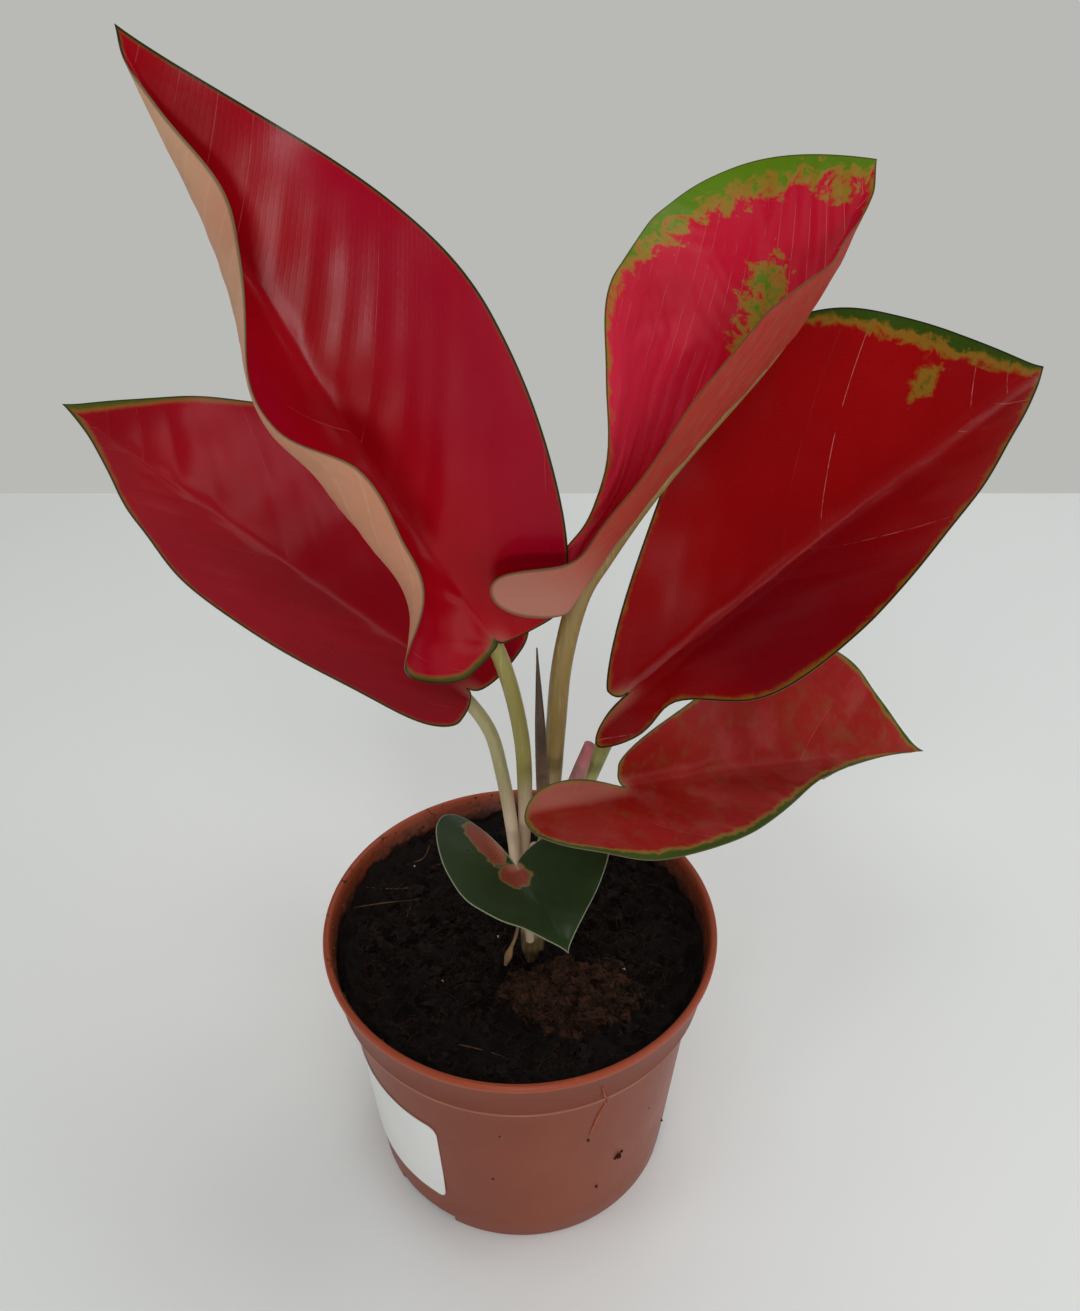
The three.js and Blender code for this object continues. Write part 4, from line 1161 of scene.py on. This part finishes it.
def scatterTree():
    # copies of one grain over a surface, thick where the named attribute is high
    tree, recipe, given = newTree("scatteredGrains", [
        ("Grain", "Object"), ("Density", "Float"), ("Where", "String"), ("Smallest", "Float"),
        ("Largest", "Float"), ("Flatness", "Float"), ("Tilt", "Float"), ("Seed", "Int"),
        ("Skin", "Material")])

    def vector(x, y, z):
        return recipe.node("ShaderNodeCombineXYZ", {}, {"X": x, "Y": y, "Z": z})

    def between(low, high, seed):
        return recipe.node("FunctionNodeRandomValue", {"data_type": "FLOAT_VECTOR"}, {
            0: low, 1: high, "Seed": seed})

    where = recipe.node("GeometryNodeInputNamedAttribute", {"data_type": "FLOAT"}, {
        "Name": given.output("Where")})
    dots = recipe.node("GeometryNodeDistributePointsOnFaces", {"distribute_method": "RANDOM"}, {
        "Mesh": given, "Density": given.output("Density") * where, "Seed": given.output("Seed")})
    grain = recipe.node("GeometryNodeObjectInfo", {}, {"Object": given.output("Grain")}, output="Geometry")
    tilt, flat = given.output("Tilt"), given.output("Flatness")
    small, large = given.output("Smallest"), given.output("Largest")
    turn = between(vector(tilt * -1, tilt * -1, 0.0), vector(tilt, tilt, 6.28), 3)
    size = between(vector(small, small, small * flat), vector(large, large, large * flat), 7)
    copies = recipe.node("GeometryNodeInstanceOnPoints", {}, {
        "Points": dots, "Instance": grain, "Rotation": turn, "Scale": size})
    copies = recipe.node("GeometryNodeRealizeInstances", {}, {"Geometry": copies})
    copies = recipe.node("GeometryNodeSetMaterial", {}, {
        "Geometry": copies, "Material": given.output("Skin")})
    recipe.node("NodeGroupOutput", {}, {"Geometry": copies})
    return tree


def crumbGrain():
    # an uneven lump, 1 m across before it is scaled down
    build = bmesh.new()
    bmesh.ops.create_icosphere(build, subdivisions=2, radius=0.5)
    for corner in build.verts:
        corner.co *= 1 + 1.3 * noise.noise(corner.co * 2.9)
    mesh = bpy.data.meshes.new("crumbGrain")
    build.to_mesh(mesh)
    build.free()
    return addObject("crumbGrain", mesh)


def strandGrain(bow=0.16, thick=0.022):
    # a bent three-sided strand, 1 m long before it is scaled down
    steps = 7
    points, faces = [], []
    for i in range(steps + 1):
        u = i / steps
        centre = Vector((u - 0.5, bow * math.sin(math.pi * u), 0.25 * bow * math.sin(5 * u)))
        width = thick * (1 - 0.6 * abs(2 * u - 1) ** 3)
        corners = [Vector((0, width * math.cos(a), width * math.sin(a))) for a in (0.5, 2.6, 4.7)]
        points += [tuple(centre + corner) for corner in corners]
    for i in range(steps):
        a = 3 * i
        faces += [(a + k, a + (k + 1) % 3, a + 3 + (k + 1) % 3, a + 3 + k) for k in range(3)]
    faces += [(0, 2, 1), (3 * steps, 3 * steps + 1, 3 * steps + 2)]
    piece = meshPiece("strandGrain", points, faces)
    faceOutward(piece)
    piece.data.shade_smooth()
    return piece


def litterMaterial(name, dark, pale, roughness=0.85):
    material, recipe = newMaterial(name)
    vector = recipe.place()
    patches = recipe.grain(vector, 260, 4, 0.7)
    fine = recipe.grain(vector, 1800, 3, 0.7)
    colour = recipe.mix(recipe.rise(patches, 0.3, 0.7), dark, pale)
    gloss = roughness + (fine - 0.5) * 0.2
    finishMaterial(recipe, colour, gloss, fine + patches, bump=0.5, depth=0.0005, shine=0.25)
    return material


# grains per square metre, where they lie, their size in mm, how flat and how tilted they are
litter = {
    "soil_crumbs": {
        "grain": "crumb", "density": 190000, "where": "bare", "size": (0.4, 2.2), "flat": 0.6, "tilt": 0.6,
        "seed": 11, "colours": ("0f0907", "26160f")},
    "soil_fibres": {
        "grain": "strand", "density": 130000, "where": "bare", "size": (3, 9), "flat": 1.0, "tilt": 0.4,
        "seed": 5, "colours": ("170e09", "3e2417")},
    "soil_clods": {
        "grain": "crumb", "density": 14000, "where": "bare", "size": (2, 5), "flat": 0.5, "tilt": 0.6,
        "seed": 21, "colours": ("0b0605", "20130d")},
    "coir_fibres": {
        "grain": "strand", "density": 1100000, "where": "coir", "size": (2.5, 7), "flat": 1.0, "tilt": 0.9,
        "seed": 8, "colours": ("24140d", "5a3826")},
    "coir_crumbs": {
        "grain": "crumb", "density": 350000, "where": "coir", "size": (1, 3.6), "flat": 0.8, "tilt": 0.6,
        "seed": 9, "colours": ("1c100a", "4a2c1c")},
    "white_grit": {
        "grain": "crumb", "density": 1700, "where": "bare", "size": (0.4, 0.9), "flat": 0.8, "tilt": 0.6,
        "seed": 2, "colours": ("b8b4a8", "dcd8cc")},
}
# radii in mm at the shares of the length; the paths from above
straws = {
    "skin": ("322115", "6e5034"), "rings": 16, "shares": (0, 0.5, 1), "radii": (0.12, 0.2, 0.1),
    "paths": (((-53, 11), (-44, 12), (-33, 14.5)), ((-50, 19), (-41, 19.5), (-32, 22)),
              ((-36, 8), (-35, 13), (-33, 17)), ((-30, 30), (-25, 34), (-18, 33)),
              ((-17, -40), (-11, -41), (-4, -41.5)), ((-38, 30), (-33, 34), (-31, 38))),
}
grainTree = scatterTree()


def scatter(surface, kind, skin):
    # the surface turns into a piece made of the grains that lie on it
    grain = crumbGrain() if kind["grain"] == "crumb" else strandGrain()
    smallest, largest = kind["size"]
    piece = runTree(surface, grainTree, {
        "Grain": grain, "Density": kind["density"], "Where": kind["where"], "Smallest": smallest * mm,
        "Largest": largest * mm, "Flatness": kind["flat"], "Tilt": kind["tilt"], "Seed": kind["seed"],
        "Skin": skin})
    bpy.data.objects.remove(grain)
    settle(piece, "soil_dark")
    report(f"{piece.name}, {len(piece.data.polygons)} faces")


def makeStrand(name, places, kind, skin, slotName):
    # a thin six-sided rod through the places
    path = smoothPath(places, kind["rings"])[0]
    radii = np.interp(np.linspace(0, 1, kind["rings"]), kind["shares"], kind["radii"])
    settle(makeStalk(name, path, radii, skin, 6), slotName)


def makeLitter():
    surface = bpy.data.objects["soil_skin"].data
    corners = np.array([tuple(v.co) for v in surface.vertices])
    top = (corners[:, 2] > 0.079) & (np.hypot(corners[:, 0], corners[:, 1]) < 0.0505)
    coir = np.array([d.value for d in surface.attributes["coir"].data])
    # more in some patches than in others, and less on the coir
    patches = np.array([lumps(x, y, 90, 2.6) for x, y in corners[:, :2]])
    bare = np.where(top, np.clip(0.55 + 1.7 * patches, 0.1, 1) * (1.0 - coir * 0.7), 0.0).astype(np.float32)
    for name, kind in litter.items():
        source = addObject(name, surface.copy())
        source.data.attributes.new("bare", "FLOAT", "POINT").data.foreach_set("value", bare)
        scatter(source, kind, litterMaterial(name + "Skin", *kind["colours"]))
    skin = litterMaterial("strawSkin", *straws["skin"], 0.6)
    for index, flat in enumerate(straws["paths"]):
        places = [(x, y, soilHeight(x, y) + 0.7) for x, y in flat]
        makeStrand(f"straw_{index + 1}", places, straws, skin, "soil_dark")


makeSoil(soilMaterial())
report("soil")
makeLitter()
report("crumbs, fibres and straw")


# crumbs on the rim, threads and specks on the wall

# the band of the rim and inner wall that holds crumbs, as radius, height and share, and its turn in degrees
rimCrumbs = {
    "grain": "crumb", "density": 600000, "where": "bare", "size": (0.2, 1.3), "flat": 0.6, "tilt": 0.5,
    "seed": 4, "colours": ("2a1810", "6a4028"), "start": 70, "span": 160, "steps": 90,
    "profile": ((59.2, 93.2, 1.0), (58.3, 93.0, 1.0), (boreRadius(91), 91, 0.45),
                (boreRadius(86), 86, 0.15)),
}
# places on the wall as degrees round the pot and height, for the specks with their size
threads = {
    "skin": ("8a3a24", "b05c40"), "rings": 24, "shares": (0, 0.4, 1), "radii": (0.16, 0.4, 0.18),
    "paths": (((-66.8, 85.5), (-65.6, 80), (-64.2, 76), (-62.4, 70)),
              ((-63.2, 69.5), (-65.4, 63), (-67.4, 55.3))),
}
specks = {
    "skin": ("1c0f0a", "3a2014"),
    "places": ((-67.5, 52.6, 1.1), (-54, 33.6, 2.2), (-52.6, 34.6, 1.1), (-55.4, 33.0, 0.9),
               (-62.1, 21.7, 1.1), (-22.5, 18.3, 1.1), (-96, 61, 0.5), (-99, 36, 0.7),
               (-41, 47, 0.5), (140, 40, 1.2), (60, 55, 0.9), (95, 20, 1.1)),
}


def onWall(turn, z, lift):
    a, radius = math.radians(turn), wallRadius(z) + lift
    return (radius * math.cos(a), radius * math.sin(a), z)


def makeRimCrumbs():
    # on the rim's top and the inner wall at the back left, in clumps
    steps, profile = rimCrumbs["steps"], rimCrumbs["profile"]
    points, faces, bare = [], [], []
    for k in range(steps + 1):
        a = math.radians(rimCrumbs["start"] + rimCrumbs["span"] * k / steps)
        clump = max(0.1, 0.5 + 1.8 * noise.noise(Vector((6 * a, 0.5, 1.7))))
        for r, z, share in profile:
            points.append((r * mm * math.cos(a), r * mm * math.sin(a), z * mm))
            bare.append(share * clump)
    count = len(profile)
    for k in range(steps):
        a, b = count * k, count * k + count
        faces += [(a + i, a + i + 1, b + i + 1, b + i) for i in range(count - 1)]
    strip = meshPiece("rim_crumbs", points, faces, {"bare": bare})
    scatter(strip, rimCrumbs, litterMaterial("rimCrumbSkin", *rimCrumbs["colours"]))


def makeThreads():
    skin = litterMaterial("threadSkin", *threads["skin"], 0.6)
    for index, flat in enumerate(threads["paths"]):
        places = [onWall(turn, z, 0.1) for turn, z in flat]
        makeStrand(f"wall_thread_{index + 1}", places, threads, skin, "pot_terracotta")


def makeSpecks():
    build = bmesh.new()
    for turn, z, size in specks["places"]:
        made = bmesh.ops.create_icosphere(build, subdivisions=2, radius=size * 0.5 * mm)
        place = Vector(onWall(turn, z, 0.0)) * mm
        for corner in made["verts"]:
            corner.co = corner.co * (1 + 0.8 * noise.noise(corner.co * 2600 + place * 900)) + place
    mesh = bpy.data.meshes.new("wall_specks")
    build.to_mesh(mesh)
    build.free()
    mesh.shade_smooth()
    mesh.materials.append(litterMaterial("speckSkin", *specks["skin"]))
    settle(addObject("wall_specks", mesh), "soil_dark")


makeRimCrumbs()
makeThreads()
makeSpecks()
report("crumbs on the rim and marks on the wall")
